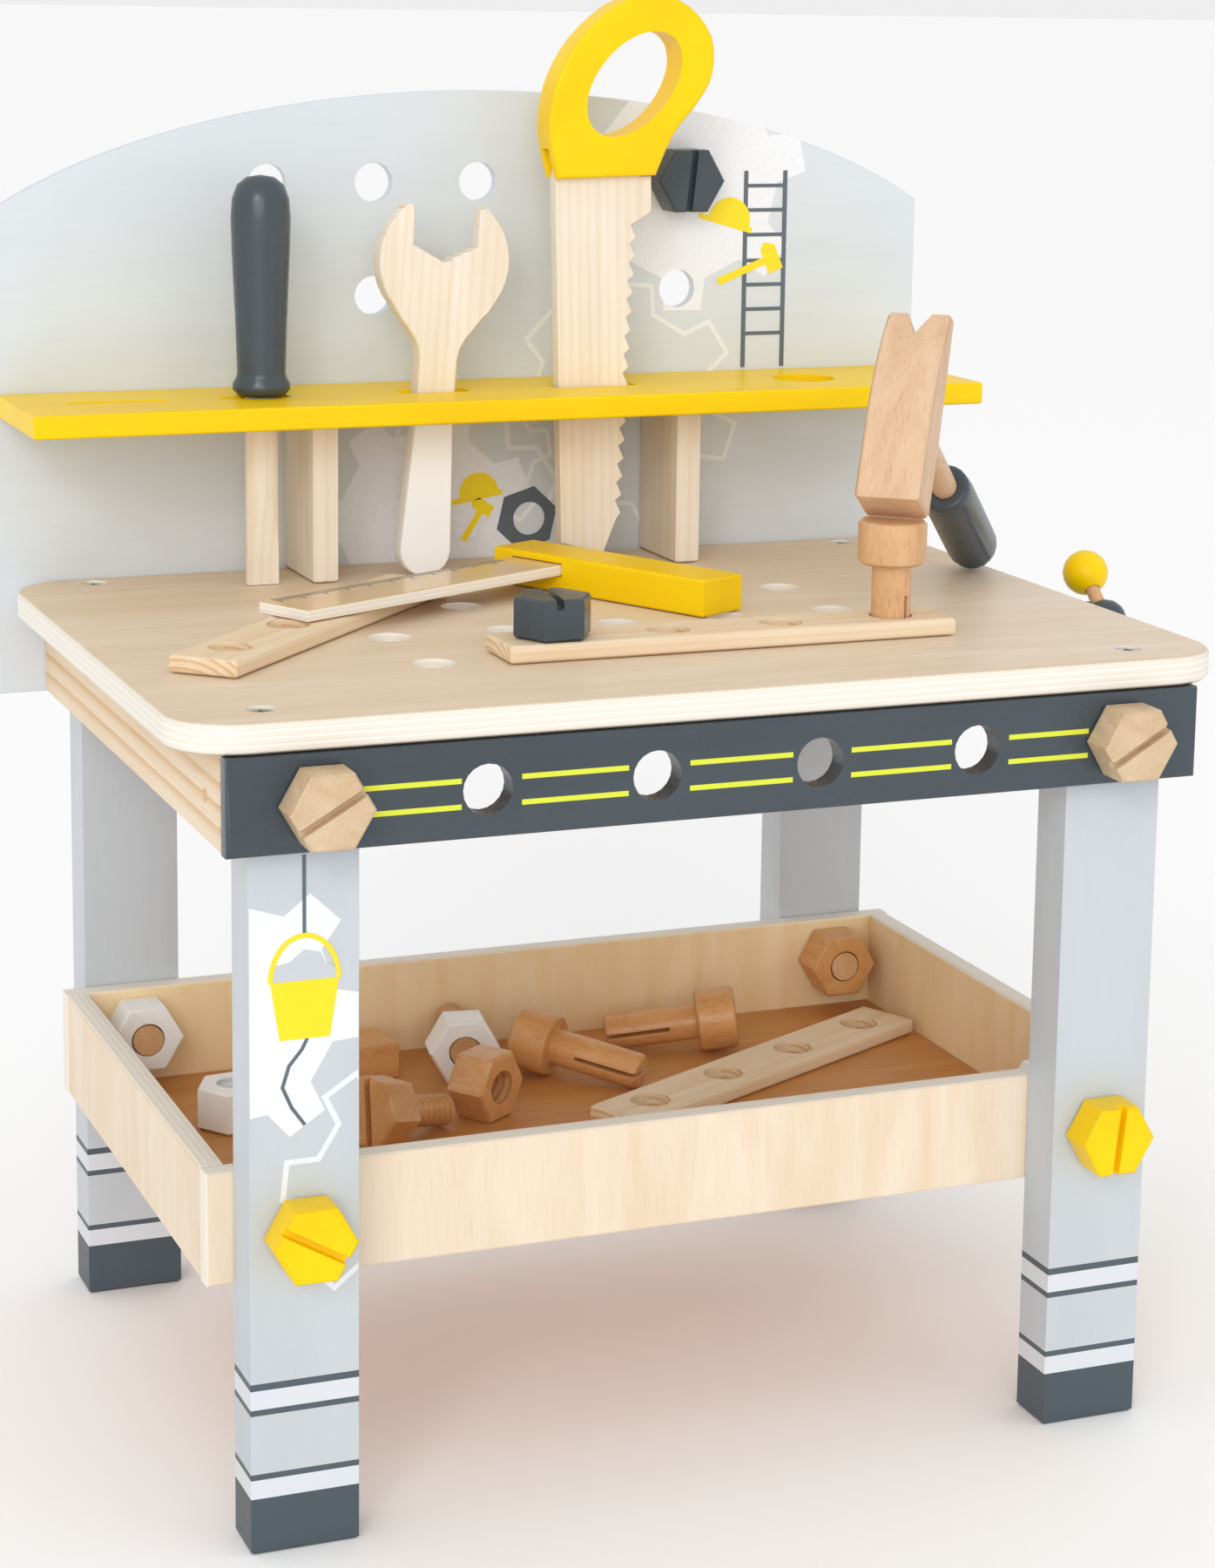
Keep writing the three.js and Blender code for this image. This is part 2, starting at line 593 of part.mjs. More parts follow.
const eyeCutter = rod('y', handleRadius + gap, 40, 0, eyeBottom + 20, hammerEye);
node('hammer_head', cut(hammerBlock, notchCutter, eyeCutter), beech, hammer);
const gripRadius = 11.5;
const gripStart = 91;
const gripEnd = 175;
const gripHole = 60;
const handleEnd = gripStart + gripHole - gap;
const handleStart = eyeBottom + gap;
const handleRod = rod('y', handleRadius, handleEnd - handleStart, 0, (handleStart + handleEnd) / 2, hammerEye);
node('hammer_handle', handleRod, beech, hammer);
const gripLength = gripEnd - gripStart;
const gripTurned = lathe([
  [0, 0], [9, 0], [10.6, 1.6], [11, 6], [gripRadius, 14], [gripRadius, gripLength - 11.5],
  [10.6, gripLength - 7], [8.1, gripLength - 3.3], [4.4, gripLength - 0.9], [0, gripLength],
]).rotateX(-Math.PI / 2).translate(0, gripStart, hammerEye);
const gripBore = rod('y', handleRadius + gap, 2 * gripHole, 0, gripStart, hammerEye);
node('hammer_grip', cut(gripTurned, gripBore), darkGrey, hammer);

// ---- try square: yellow stock with a ruled blade let into it ----
const squareTurn = 27;
const stockLength = 119;
const stockWidth = 25;
const stockThick = 16;
const squareBladeWidth = 28.5;
const squareBladeThick = 5;
const squareBladeLength = 149;
const bladeSeat = 15;
const bladeV = 34.5;
const square = new THREE.Group();
square.rotation.z = degrees(squareTurn);
square.position.set(24.7, 38.9, worktopTop + gap);
bench.add(square);
const bladeLow = stripThick + gap;
const stockBoard = board(rectangle(stockWidth, stockLength), stockThick, 1.5, 1, 2);
const stockSlot = box(2 * (bladeSeat + gap), squareBladeWidth + 2 * gap, squareBladeThick + 2 * gap,
  -stockWidth / 2, bladeV, bladeLow + squareBladeThick / 2);
node('square_stock', cut(stockBoard, stockSlot), yellow, square);
const bladeSpan = squareBladeLength + bladeSeat;
const squareBlade = board(rectangle(bladeSpan, squareBladeWidth), squareBladeThick, 0.6);
squareBlade.translate(-stockWidth / 2 + bladeSeat - bladeSpan / 2, bladeV, bladeLow);
node('square_blade', squareBlade, birchPly, square);

// ---- loose pieces in the tray ----
const leftPegX = -5.7;
const trayPegs = [['tray_peg_left', leftPegX, 70.6, -45], ['tray_peg_right', 97, 65, 160]];
for (const [name, x, y, heading] of trayPegs) {
  const peg = node(name, pegShape(), beech);
  layPin(peg, x, y, trayFloorTop, heading, pegHeadRadius, pegHeadThick, pegShankRadius, pegShankLength);
}
const looseBolt = node('loose_bolt', boltShape(shortShank, 75), beech);
layPin(looseBolt, -101, -8.3, trayFloorTop, 29.7, hexFlats / 2, headThick, shankRadius, shortShank);

const standingNutZ = trayFloorTop + gap + hexFlats / 2;
const looseNut = node('loose_nut', nutShape(), beech);
lay(looseNut, [-44.7, 28.2, standingNutZ], degrees(-55.4));
const whiteNut = node('white_nut', nutShape(), white);
whiteNut.rotation.z = degrees(6.5);
whiteNut.position.set(-143.5, 45, trayFloorTop + gap);
const studHeading = degrees(-101);
const studNut = node('stud_nut', nutShape(), white);
const pegToStudNut = 10.5;
const studNutAt = [leftPegX - pegToStudNut - hexFlats / 2, 79.6];
lay(studNut, [...studNutAt, standingNutZ], studHeading);
const studLength = 51;
const stud = node('threaded_stud', rod('z', shankRadius, studLength, 0, 0, studLength / 2), beech);
const studBack = 34;
const studX = studNutAt[0] - studBack * Math.cos(studHeading);
const studY = studNutAt[1] - studBack * Math.sin(studHeading);
lay(stud, [studX, studY, standingNutZ], studHeading);
const block = node('block', board(rectangle(34, 24), 17, edgeRound), beech);
block.rotation.z = degrees(8);
block.position.set(-77.5, 88, trayFloorTop + gap);

// ---- vice on the right side ----
const jawInner = sideOuter + viceOpening;
const jawOuter = jawInner + jawThick;
const jawBoard = board(roundedOutline(jawTop - jawBottom, jawWidth, 8), jawThick, 1.5, 4).rotateY(Math.PI / 2);
jawBoard.translate(jawInner, viceY, (jawTop + jawBottom) / 2);
const guideZ = viceZ - guideBelow;
const jawHoles = [
  rod('x', boltHoleRadius, 60, jawInner, viceY, viceZ),
  rod('x', guideRadius + gap, 2 * guideSeat, jawInner, guideY, guideZ, 16),
];
node('vice_jaw', cut(jawBoard, ...jawHoles), darkGrey);
const guideEnd = jawInner + guideSeat - gap;
const guideStart = sideOuter - apronThick - 24;
const guidePin = rod('x', guideRadius, guideEnd - guideStart, (guideStart + guideEnd) / 2, guideY, guideZ, 16);
node('vice_guide', guidePin, beech);
const collarEnd = jawOuter + gap + spindleCollar;
const knobSink = 1.5;
const knobX = collarEnd + knobRadius - knobSink;
const spindleStart = sideOuter - apronThick - spindleInside;
const spindleProfile = [[0, spindleStart], [shankRadius - 1.2, spindleStart], [shankRadius, spindleStart + 1.2],
  [shankRadius, jawOuter + gap], [spindleCollarRadius, jawOuter + gap], [spindleCollarRadius, collarEnd]];
const knobSteps = 6;
const knobSeatAngle = -48;
for (let step = 0; step <= knobSteps; step += 1) {
  const angle = degrees(knobSeatAngle + step * (90 - knobSeatAngle) / knobSteps);
  const radius = step === knobSteps ? 0 : knobRadius * Math.cos(angle);
  spindleProfile.push([radius, knobX + knobRadius * Math.sin(angle)]);
}
const spindleTurned = lathe(spindleProfile).rotateY(Math.PI / 2);
const barHole = rod('z', barRadius + gap + 0.2, 60, knobX, 0, 0, 12);
const vice = new THREE.Group();
vice.position.set(0, viceY, viceZ);
vice.rotation.x = degrees(barAngle - 90);
bench.add(vice);
node('vice_spindle', cut(spindleTurned, barHole), darkGrey, vice);
const barIntoBall = 3;
const barLength = 2 * (barReach + barIntoBall);
node('vice_bar', rod('z', barRadius, barLength, knobX, 0, 0, 12), beech, vice);
for (const [name, side] of [['vice_ball_top', 1], ['vice_ball_bottom', -1]]) {
  const ball = new THREE.SphereGeometry(ballRadius, 16, 10).rotateX(Math.PI / 2);
  ball.translate(knobX, 0, side * barReach);
  const socket = rod('z', barRadius + gap, barLength + 2 * gap, knobX, 0, 0, 12);
  node(name, cut(ball, socket), yellow, vice);
}

// ---- the origin goes to the middle of the whole object's footprint ----
const extent = new THREE.Box3().setFromObject(bench, true);
bench.position.set(-(extent.min.x + extent.max.x) / 2, -(extent.min.y + extent.max.y) / 2, -extent.min.z);

export default bench;
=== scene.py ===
import json
import math
import bpy
from mathutils import Matrix, Vector

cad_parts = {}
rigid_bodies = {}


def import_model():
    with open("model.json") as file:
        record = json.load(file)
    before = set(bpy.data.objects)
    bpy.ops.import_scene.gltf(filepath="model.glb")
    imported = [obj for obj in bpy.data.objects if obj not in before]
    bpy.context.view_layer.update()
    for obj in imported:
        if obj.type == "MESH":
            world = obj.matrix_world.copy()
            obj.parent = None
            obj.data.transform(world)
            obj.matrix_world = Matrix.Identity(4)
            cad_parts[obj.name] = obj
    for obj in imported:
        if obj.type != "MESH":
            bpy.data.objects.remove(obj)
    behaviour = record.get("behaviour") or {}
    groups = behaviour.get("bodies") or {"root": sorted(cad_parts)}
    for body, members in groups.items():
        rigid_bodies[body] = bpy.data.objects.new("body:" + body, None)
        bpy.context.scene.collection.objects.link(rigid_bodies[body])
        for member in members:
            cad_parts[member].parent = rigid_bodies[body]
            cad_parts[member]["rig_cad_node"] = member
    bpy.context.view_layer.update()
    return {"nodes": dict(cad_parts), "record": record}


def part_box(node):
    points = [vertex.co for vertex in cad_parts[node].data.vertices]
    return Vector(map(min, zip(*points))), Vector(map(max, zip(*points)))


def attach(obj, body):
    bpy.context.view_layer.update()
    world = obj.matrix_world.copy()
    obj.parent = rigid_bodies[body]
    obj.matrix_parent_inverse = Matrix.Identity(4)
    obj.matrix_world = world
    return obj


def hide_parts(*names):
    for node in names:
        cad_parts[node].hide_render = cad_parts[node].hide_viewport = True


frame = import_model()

mm = 0.001
nodes = frame["nodes"]
bodies = frame["record"]["behaviour"]["bodies"]
bodyOf = {member: body for body, members in bodies.items() for member in members}
slotOf = {row["node"]: row["material_slot"] for row in frame["record"]["subparts"]}
worktopLow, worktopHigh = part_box("worktop")
benchMid = (worktopLow + worktopHigh) / 2   # the worktop's middle is the middle of the bench itself


def spot(x, y, z):
    return Vector((benchMid.x + x * mm, benchMid.y + y * mm, z * mm))


def choose(*pieces):
    if bpy.context.object and bpy.context.object.mode != "OBJECT":
        bpy.ops.object.mode_set(mode="OBJECT")
    bpy.ops.object.select_all(action="DESELECT")
    for piece in pieces:
        piece.select_set(True)
    bpy.context.view_layer.objects.active = pieces[0]


def settle(piece):
    choose(piece)
    bpy.ops.object.transform_apply(location=True, rotation=True, scale=True)
    return piece


def modify(piece, kind, **settings):
    modifier = piece.modifiers.new(kind.title(), kind)
    for key, value in settings.items():
        setattr(modifier, key, value)
    choose(piece)
    bpy.ops.object.modifier_apply(modifier=modifier.name)
    return piece


def carve(piece, tool, operation="DIFFERENCE"):
    modify(piece, "BOOLEAN", object=tool, operation=operation, solver="EXACT")
    bpy.data.objects.remove(tool)
    return piece


def joinUp(*pieces):
    choose(*pieces)
    bpy.ops.object.join()
    return pieces[0]


def finishShading(piece, angle=50):
    choose(piece)
    bpy.ops.object.shade_smooth_by_angle(angle=math.radians(angle))
    return modify(piece, "WEIGHTED_NORMAL", keep_sharp=True)


def wear(piece, name, body, material):
    piece.name = name
    piece.data.name = name
    piece.data.materials.clear()
    piece.data.materials.append(material)
    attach(piece, body)
    return piece


def block(size, at, turn=(0, 0, 0)):
    bpy.ops.mesh.primitive_cube_add(size=1, location=at, rotation=turn, scale=[side * mm for side in size])
    return settle(bpy.context.object)


def disc(radius, depth, at, axis="y", sides=64):
    tilt = {"x": (0, math.pi / 2, 0), "y": (math.pi / 2, 0, 0), "z": (0, 0, 0)}[axis]
    bpy.ops.mesh.primitive_cylinder_add(vertices=sides, radius=radius * mm, depth=depth * mm,
                                        location=at, rotation=tilt)
    return settle(bpy.context.object)


# An sRGB hex value becomes the linear colour that a socket takes.
def linear(code):
    parts = [int(code[place:place + 2], 16) / 255 for place in (1, 3, 5)]
    lit = [part / 12.92 if part <= 0.04045 else ((part + 0.055) / 1.055) ** 2.4 for part in parts]
    return (*lit, 1.0)


# Inputs are given by name, or by number as pin0, pin1 and so on.
def addNode(tree, kind, settings=None, **inputs):
    made = tree.nodes.new("ShaderNode" + kind)
    for key, value in (settings or {}).items():
        if key == "stops":
            ramp = made.color_ramp
            while len(ramp.elements) < len(value):
                ramp.elements.new(0.5)
            for element, (place, code) in zip(ramp.elements, value):
                element.position = place
                element.color = linear(code)
        elif key == "fade":
            made.color_ramp.interpolation = value
        else:
            setattr(made, key, value)
    for key, value in inputs.items():
        socket = made.inputs[int(key[3:])] if key.startswith("pin") else made.inputs[key.replace("_", " ")]
        if isinstance(value, bpy.types.NodeSocket):
            tree.links.new(value, socket)
        else:
            socket.default_value = value
    return made


def newMaterial(name):
    material = bpy.data.materials.new(name)
    material.use_nodes = True
    tree = material.node_tree
    return material, tree, tree.nodes["Principled BSDF"]


# Coordinates in millimetres with X along the grain, centred on the piece.
def grainSpace(tree, middle, along):
    turn = Vector(along).rotation_difference(Vector((1, 0, 0))).to_matrix()
    shift = -(turn @ Vector(middle)) / mm
    place = addNode(tree, "TexCoord")
    return addNode(tree, "Mapping", Vector=place.outputs["Object"], Location=shift, Rotation=turn.to_euler(),
                   Scale=(1 / mm, 1 / mm, 1 / mm)).outputs[0]


# Each wood's figure and pores are noise, scaled in changes per millimetre, first along the grain.
plyGrain = {"figure": (0.006, 0.06, 0.06), "pore": (0.06, 1.6, 1.6), "poreDepth": 0.10, "rough": 0.42}
trayGrain = {"figure": (0.007, 0.05, 0.05), "pore": (0.05, 1.4, 1.4), "poreDepth": 0.08, "rough": 0.5}
pineGrain = {"figure": (0.004, 0.05, 0.05), "pore": (0.03, 1.3, 1.3), "poreDepth": 0.08, "rough": 0.5}
beechGrain = {"figure": (0.02, 0.07, 0.07), "pore": (0.2, 1.6, 1.6), "poreDepth": 0.16, "rough": 0.36}
woods = {
    # sanded birch plywood under satin varnish: pale pinkish cream, quiet wavy figure, pores in short strokes
    "birch": {**plyGrain, "dark": "#DCC6AA", "mid": "#E1CEB5", "light": "#E6D6C0"},
    # the square's thin blade has thick glossy varnish that darkens it
    "varnishedBirch": {**plyGrain, "dark": "#D2B182", "mid": "#D9BA8E", "light": "#E0C59C"},
    # the tray's ply is a yellower sheet with its figure upright
    "trayBirch": {**trayGrain, "dark": "#E3CCAE", "mid": "#E8D5BC", "light": "#ECDDC9"},
    # the tray's rear and right walls take a lighter, warmer copy of the ply: painted light on their inner
    # faces, which lie in the worktop's shade
    "paintedLightBirch": {**trayGrain, "dark": "#F0D3A0", "mid": "#F6DDB0", "light": "#FAE6C2"},
    # the tray's floor has a rotary-cut veneer that the varnish has turned amber
    "trayFloor": {**trayGrain, "dark": "#C08344", "mid": "#CA8E50", "light": "#D39C60",
                  "figure": (0.006, 0.05, 0.05), "poreDepth": 0.10},
    # planed pine: straight growth rings, pale earlywood and thin honey latewood
    "pine": {**pineGrain, "dark": "#E4D5BE", "mid": "#EADFCE", "light": "#F0E7DA", "poreDepth": 0.06,
             "ring": 4.2, "ringDepth": 0.2, "endDepth": 0.6},
    # the side aprons are of flat-sawn pine with a bolder honey figure
    "boldPine": {**pineGrain, "dark": "#DFC4A0", "mid": "#E5CFB0", "light": "#EBD9BF",
                 "ring": 8.5, "ringDepth": 0.75, "endDepth": 0.2},
    # the flat-lying strips take a darker copy of the pine than the upright tools, with closer rings: the
    # darker tone is painted shade on their lit tops
    "shadedStripPine": {**pineGrain, "dark": "#E2C8A4", "mid": "#E8D2B2", "light": "#EDDCC2",
                  "ring": 3.0, "ringDepth": 0.25, "endDepth": 0.65},
    # turned and milled beech: warm even brown with short dark ray flecks
    "beech": {**beechGrain, "dark": "#CB9D70", "mid": "#D6A97B", "light": "#E0B68B"},
    # a deeper, more orange copy of the beech for the pieces that lie in the tray: painted warm shade of the
    # tray
    "amberBeech": {**beechGrain, "dark": "#CA9054", "mid": "#D59E64", "light": "#DFAB74", "rough": 0.33},
    # the two bolts in the front apron are of a greyer board
    "boltBeech": {**beechGrain, "dark": "#C6A983", "mid": "#CFB491", "light": "#D8BF9E"},
    # the hammer head and its handle are of a paler, pinker beech
    "paleBeech": {**beechGrain, "dark": "#CDA882", "mid": "#D8B592", "light": "#E0C0A0",
                  "pore": (0.16, 1.4, 1.4), "poreDepth": 0.14, "rough": 0.45},
}
pith = (0, 9, -34)   # the rings' centre, in millimetres from the middle of the piece
veneer = {"tilt": 0.6, "wobble": 0.25, "stops": [(0.0, "#EFEAE0"), (0.44, "#F2EEE6"), (0.5, "#D8CBB6"),
                                                 (0.56, "#E9E1D3"), (0.94, "#ECE5D8"), (1.0, "#D4C5AD")]}


# Growth rings round the pith. Cut ends soak up more varnish, so theirs stand out.
def growthRings(tree, space, look, along, colour):
    fromPith = addNode(tree, "VectorMath", {"operation": "SUBTRACT"}, pin0=space, pin1=pith).outputs[0]
    slow = addNode(tree, "VectorMath", {"operation": "MULTIPLY"}, pin0=fromPith, pin1=(0.04, 1, 1)).outputs[0]
    rings = addNode(tree, "TexWave", {"wave_type": "RINGS", "rings_direction": "X", "wave_profile": "SAW"},
                    Vector=slow, Scale=math.tau / 20 / look["ring"], Distortion=2.2, Detail=2.0,
                    Detail_Scale=0.35).outputs["Fac"]
    stops = [(0.45, "#FFFFFF"), (0.9, "#E9C796"), (1.0, "#FFFFFF")]
    late = addNode(tree, "ValToRGB", {"stops": stops}, Fac=rings)
    normal = addNode(tree, "TexCoord").outputs["Normal"]
    facing = addNode(tree, "VectorMath", {"operation": "DOT_PRODUCT"}, pin0=normal,
                     pin1=along).outputs["Value"]
    steep = addNode(tree, "Math", {"operation": "ABSOLUTE"}, pin0=facing).outputs[0]
    cutEnd = addNode(tree, "Math", {"operation": "GREATER_THAN"}, pin0=steep, pin1=0.7).outputs[0]
    depth = addNode(tree, "Math", {"operation": "MULTIPLY_ADD"}, pin0=cutEnd, pin1=look["endDepth"],
                    pin2=look["ringDepth"]).outputs[0]
    return addNode(tree, "Mix", {"data_type": "RGBA", "blend_type": "MULTIPLY"}, pin0=depth, pin6=colour,
                   pin7=late.outputs["Color"]).outputs[2]


# Glued veneers show as fine stripes on the cut edges, with the end-grain plies darker.
def veneerEdges(tree, layers, figure, colour):
    place = addNode(tree, "TexCoord")
    split = {"x": 0, "y": 1, "z": 2}[layers["across"]]
    depth = addNode(tree, "SeparateXYZ", Vector=place.outputs["Object"]).outputs[split]
    facing = addNode(tree, "SeparateXYZ", Vector=place.outputs["Normal"]).outputs[split]
    steep = addNode(tree, "Math", {"operation": "ABSOLUTE"}, pin0=facing).outputs[0]
    edge = addNode(tree, "Math", {"operation": "LESS_THAN"}, pin0=steep, pin1=veneer["tilt"]).outputs[0]
    inside = addNode(tree, "Math", {"operation": "SUBTRACT"}, pin0=depth, pin1=layers["from"]).outputs[0]
    perPair = 1 / (2 * layers["ply"] * mm)
    level = addNode(tree, "Math", {"operation": "MULTIPLY"}, pin0=inside, pin1=perPair).outputs[0]
    drift = addNode(tree, "Math", {"operation": "SUBTRACT"}, pin0=figure, pin1=0.5).outputs[0]
    wobble = addNode(tree, "Math", {"operation": "MULTIPLY"}, pin0=drift, pin1=veneer["wobble"]).outputs[0]
    wavy = addNode(tree, "Math", {"operation": "ADD"}, pin0=level, pin1=wobble).outputs[0]
    saw = addNode(tree, "Math", {"operation": "FRACT"}, pin0=wavy).outputs[0]
    plies = addNode(tree, "ValToRGB", {"stops": veneer["stops"]}, Fac=saw).outputs["Color"]
    return addNode(tree, "Mix", {"data_type": "RGBA"}, pin0=edge, pin6=colour, pin7=plies).outputs[2]


def woodMaterial(name, kind, middle, along, layers=None, gloss=0.0):
    look = woods[kind]
    material, tree, surface = newMaterial(name)
    space = grainSpace(tree, middle, along)
    wavy = addNode(tree, "VectorMath", {"operation": "MULTIPLY"}, pin0=space, pin1=look["figure"]).outputs[0]
    figure = addNode(tree, "TexNoise", Vector=wavy, Scale=1.0, Detail=4.0, Roughness=0.55,
                     Distortion=0.8).outputs["Fac"]
    stops = [(0.28, look["dark"]), (0.5, look["mid"]), (0.72, look["light"])]
    colour = addNode(tree, "ValToRGB", {"stops": stops}, Fac=figure).outputs["Color"]
    if "ring" in look:
        colour = growthRings(tree, space, look, along, colour)
    strokes = addNode(tree, "VectorMath", {"operation": "MULTIPLY"}, pin0=space, pin1=look["pore"]).outputs[0]
    pore = addNode(tree, "TexNoise", Vector=strokes, Scale=1.0, Detail=3.0, Roughness=0.6).outputs["Fac"]
    flecks = addNode(tree, "ValToRGB", {"stops": [(0.34, look["dark"]), (0.47, "#FFFFFF")]}, Fac=pore)
    colour = addNode(tree, "Mix", {"data_type": "RGBA", "blend_type": "MULTIPLY"},
                     pin0=look["poreDepth"] * 2.2, pin6=colour, pin7=flecks.outputs["Color"]).outputs[2]
    if layers:
        colour = veneerEdges(tree, layers, figure, colour)
    tree.links.new(colour, surface.inputs["Base Color"])
    rough = addNode(tree, "MapRange", Value=pore, pin1=0.3, pin2=0.7, pin3=look["rough"] + 0.08 - gloss,
                    pin4=look["rough"] - 0.04 - gloss)
    tree.links.new(rough.outputs[0], surface.inputs["Roughness"])
    bump = addNode(tree, "Bump", Strength=0.22, Distance=0.12 * mm, Height=pore)
    tree.links.new(bump.outputs[0], surface.inputs["Normal"])
    surface.inputs["IOR"].default_value = 1.5
    return material


paints = {
    # water-based satin paint on wood: even colour, brushed-out grain just telegraphing through
    "yellow": {"code": "#F8D000", "shade": "#F2C600", "rough": 0.36, "grain": 0.08, "sheen": 0.22},
    "darkGrey": {"code": "#3E484F", "shade": "#364047", "rough": 0.28, "grain": 0.08, "sheen": 0.5},
    "lightGrey": {"code": "#D3DAE0", "shade": "#CED5DB", "rough": 0.42, "grain": 0.05, "sheen": 0.4},
    # the legs take a darker copy of the light grey paint: painted shade that holds down the strong front light
    # on them
    "shadedLegGrey": {"code": "#C3C9CE", "shade": "#BEC4C9", "rough": 0.42, "grain": 0.05, "sheen": 0.4},
    "white": {"code": "#F6F6F4", "shade": "#EFEFEC", "rough": 0.4, "grain": 0.08, "sheen": 0.4},
}
brushing = {"cloud": (0.008, 0.03, 0.03), "fibres": (0.035, 0.9, 0.9), "streak": 0.5, "ridge": 4}


def paintInto(tree, surface, kind, middle, along):
    look = paints[kind]
    space = grainSpace(tree, middle, along)
    scaled = {"operation": "MULTIPLY"}
    drift = addNode(tree, "VectorMath", scaled, pin0=space, pin1=brushing["cloud"]).outputs[0]
    cloud = addNode(tree, "TexNoise", Vector=drift, Scale=1.0, Detail=3.0)
    brushed = addNode(tree, "VectorMath", scaled, pin0=space, pin1=brushing["fibres"]).outputs[0]
    fibres = addNode(tree, "TexNoise", Vector=brushed, Scale=1.0, Detail=4.0, Roughness=0.6).outputs["Fac"]
    peel = addNode(tree, "TexNoise", Vector=space, Scale=0.9, Detail=2.0).outputs["Fac"]
    stops = [(0.3, look["shade"]), (0.55, look["code"])]
    colour = addNode(tree, "ValToRGB", {"stops": stops}, Fac=cloud.outputs["Fac"]).outputs["Color"]
    streak = addNode(tree, "ValToRGB", {"stops": [(0.36, "#9A9A9A"), (0.5, "#FFFFFF")]}, Fac=fibres)
    colour = addNode(tree, "Mix", {"data_type": "RGBA", "blend_type": "MULTIPLY"},
                     pin0=look["grain"] * brushing["streak"], pin6=colour,
                     pin7=streak.outputs["Color"]).outputs[2]
    rough = addNode(tree, "MapRange", Value=peel, pin1=0.3, pin2=0.7, pin3=look["rough"] - 0.05,
                    pin4=look["rough"] + 0.06)
    tree.links.new(rough.outputs[0], surface.inputs["Roughness"])
    ridges = addNode(tree, "Math", {"operation": "MULTIPLY"}, pin0=fibres,
                     pin1=look["grain"] * brushing["ridge"]).outputs[0]
    relief = addNode(tree, "Math", {"operation": "ADD"}, pin0=ridges, pin1=peel).outputs[0]
    bump = addNode(tree, "Bump", Strength=0.16, Distance=0.15 * mm, Height=relief)
    tree.links.new(bump.outputs[0], surface.inputs["Normal"])
    surface.inputs["IOR"].default_value = 1.49
    surface.inputs["Specular IOR Level"].default_value = look["sheen"]
    return colour


def paintMaterial(name, kind, middle, along):
    material, tree, surface = newMaterial(name)
    tree.links.new(paintInto(tree, surface, kind, middle, along), surface.inputs["Base Color"])
    return material


# The legs' feet are dipped dark, and bands are printed round them. Heights are in millimetres from the floor.
legBands = {"foot": 22, "gapTop": 29.3, "lineTop": 31.7, "secondLow": 54.8, "secondTop": 57.2,
            "thirdLow": 64.8, "thirdTop": 67.2, "span": 100, "ink": "#4F5A62", "pale": "#D6DAE0",
            "footPaint": "#47525A"}


def legMaterial(name, middle):
    material, tree, surface = newMaterial(name)
    # the legs' grey is the darker copy of the panel's grey: painted shade
    colour = paintInto(tree, surface, "shadedLegGrey", middle, (0, 0, 1))
    place = addNode(tree, "TexCoord")
    height = addNode(tree, "SeparateXYZ", Vector=place.outputs["Object"]).outputs[2]
    perSpan = 1 / (legBands["span"] * mm)
    share = addNode(tree, "Math", {"operation": "MULTIPLY"}, pin0=height, pin1=perSpan).outputs[0]
    at = {key: legBands[key] / legBands["span"] for key in
          ("foot", "gapTop", "lineTop", "secondLow", "secondTop", "thirdLow", "thirdTop")}
    stops = [(0, legBands["footPaint"]), (at["foot"], legBands["pale"]), (at["gapTop"], legBands["ink"]),
             (at["lineTop"], "#FFFFFF"), (at["secondLow"], legBands["ink"]),
             (at["secondTop"], legBands["pale"]), (at["thirdLow"], legBands["ink"]),
             (at["thirdTop"], "#FFFFFF")]
    bands = addNode(tree, "ValToRGB", {"stops": stops, "fade": "CONSTANT"}, Fac=share)
    inked = [(0, "#FFFFFF"), (at["lineTop"], "#000000"), (at["secondLow"], "#FFFFFF"),
             (at["thirdTop"], "#000000")]
    mask = addNode(tree, "ValToRGB", {"stops": inked, "fade": "CONSTANT"}, Fac=share)
    covered = addNode(tree, "Mix", {"data_type": "RGBA"}, pin0=mask.outputs["Color"], pin6=colour,
                      pin7=bands.outputs["Color"])
    tree.links.new(covered.outputs[2], surface.inputs["Base Color"])
    return material


def inkMaterial(name, code):
    material, tree, surface = newMaterial(name)
    place = addNode(tree, "TexCoord")
    grain = addNode(tree, "TexNoise", Vector=place.outputs["Object"], Scale=900.0, Detail=2.0)
    mottled = addNode(tree, "HueSaturation", Color=linear(code), Value=1.0)
    value = addNode(tree, "MapRange", Value=grain.outputs["Fac"], pin1=0.3, pin2=0.7, pin3=0.96, pin4=1.03)
    tree.links.new(value.outputs[0], mottled.inputs["Value"])
    tree.links.new(mottled.outputs[0], surface.inputs["Base Color"])
    surface.inputs["Roughness"].default_value = 0.4
    return material


# Every wooden piece takes its CAD shape, with its rims eased and its finish put on.
def middleOf(node):
    low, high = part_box(node)
    return (low + high) / 2


xAxis, yAxis, zAxis = (1, 0, 0), (0, 1, 0), (0, 0, 1)


def headed(degrees, tilt=0):
    turn, drop = math.radians(degrees), math.radians(tilt)
    return (math.cos(turn) * math.cos(drop), math.sin(turn) * math.cos(drop), -math.sin(drop))


hammerAlong = (0.556, 0.677, -0.482)
viceBarAlong = (0, 0.731, 0.682)
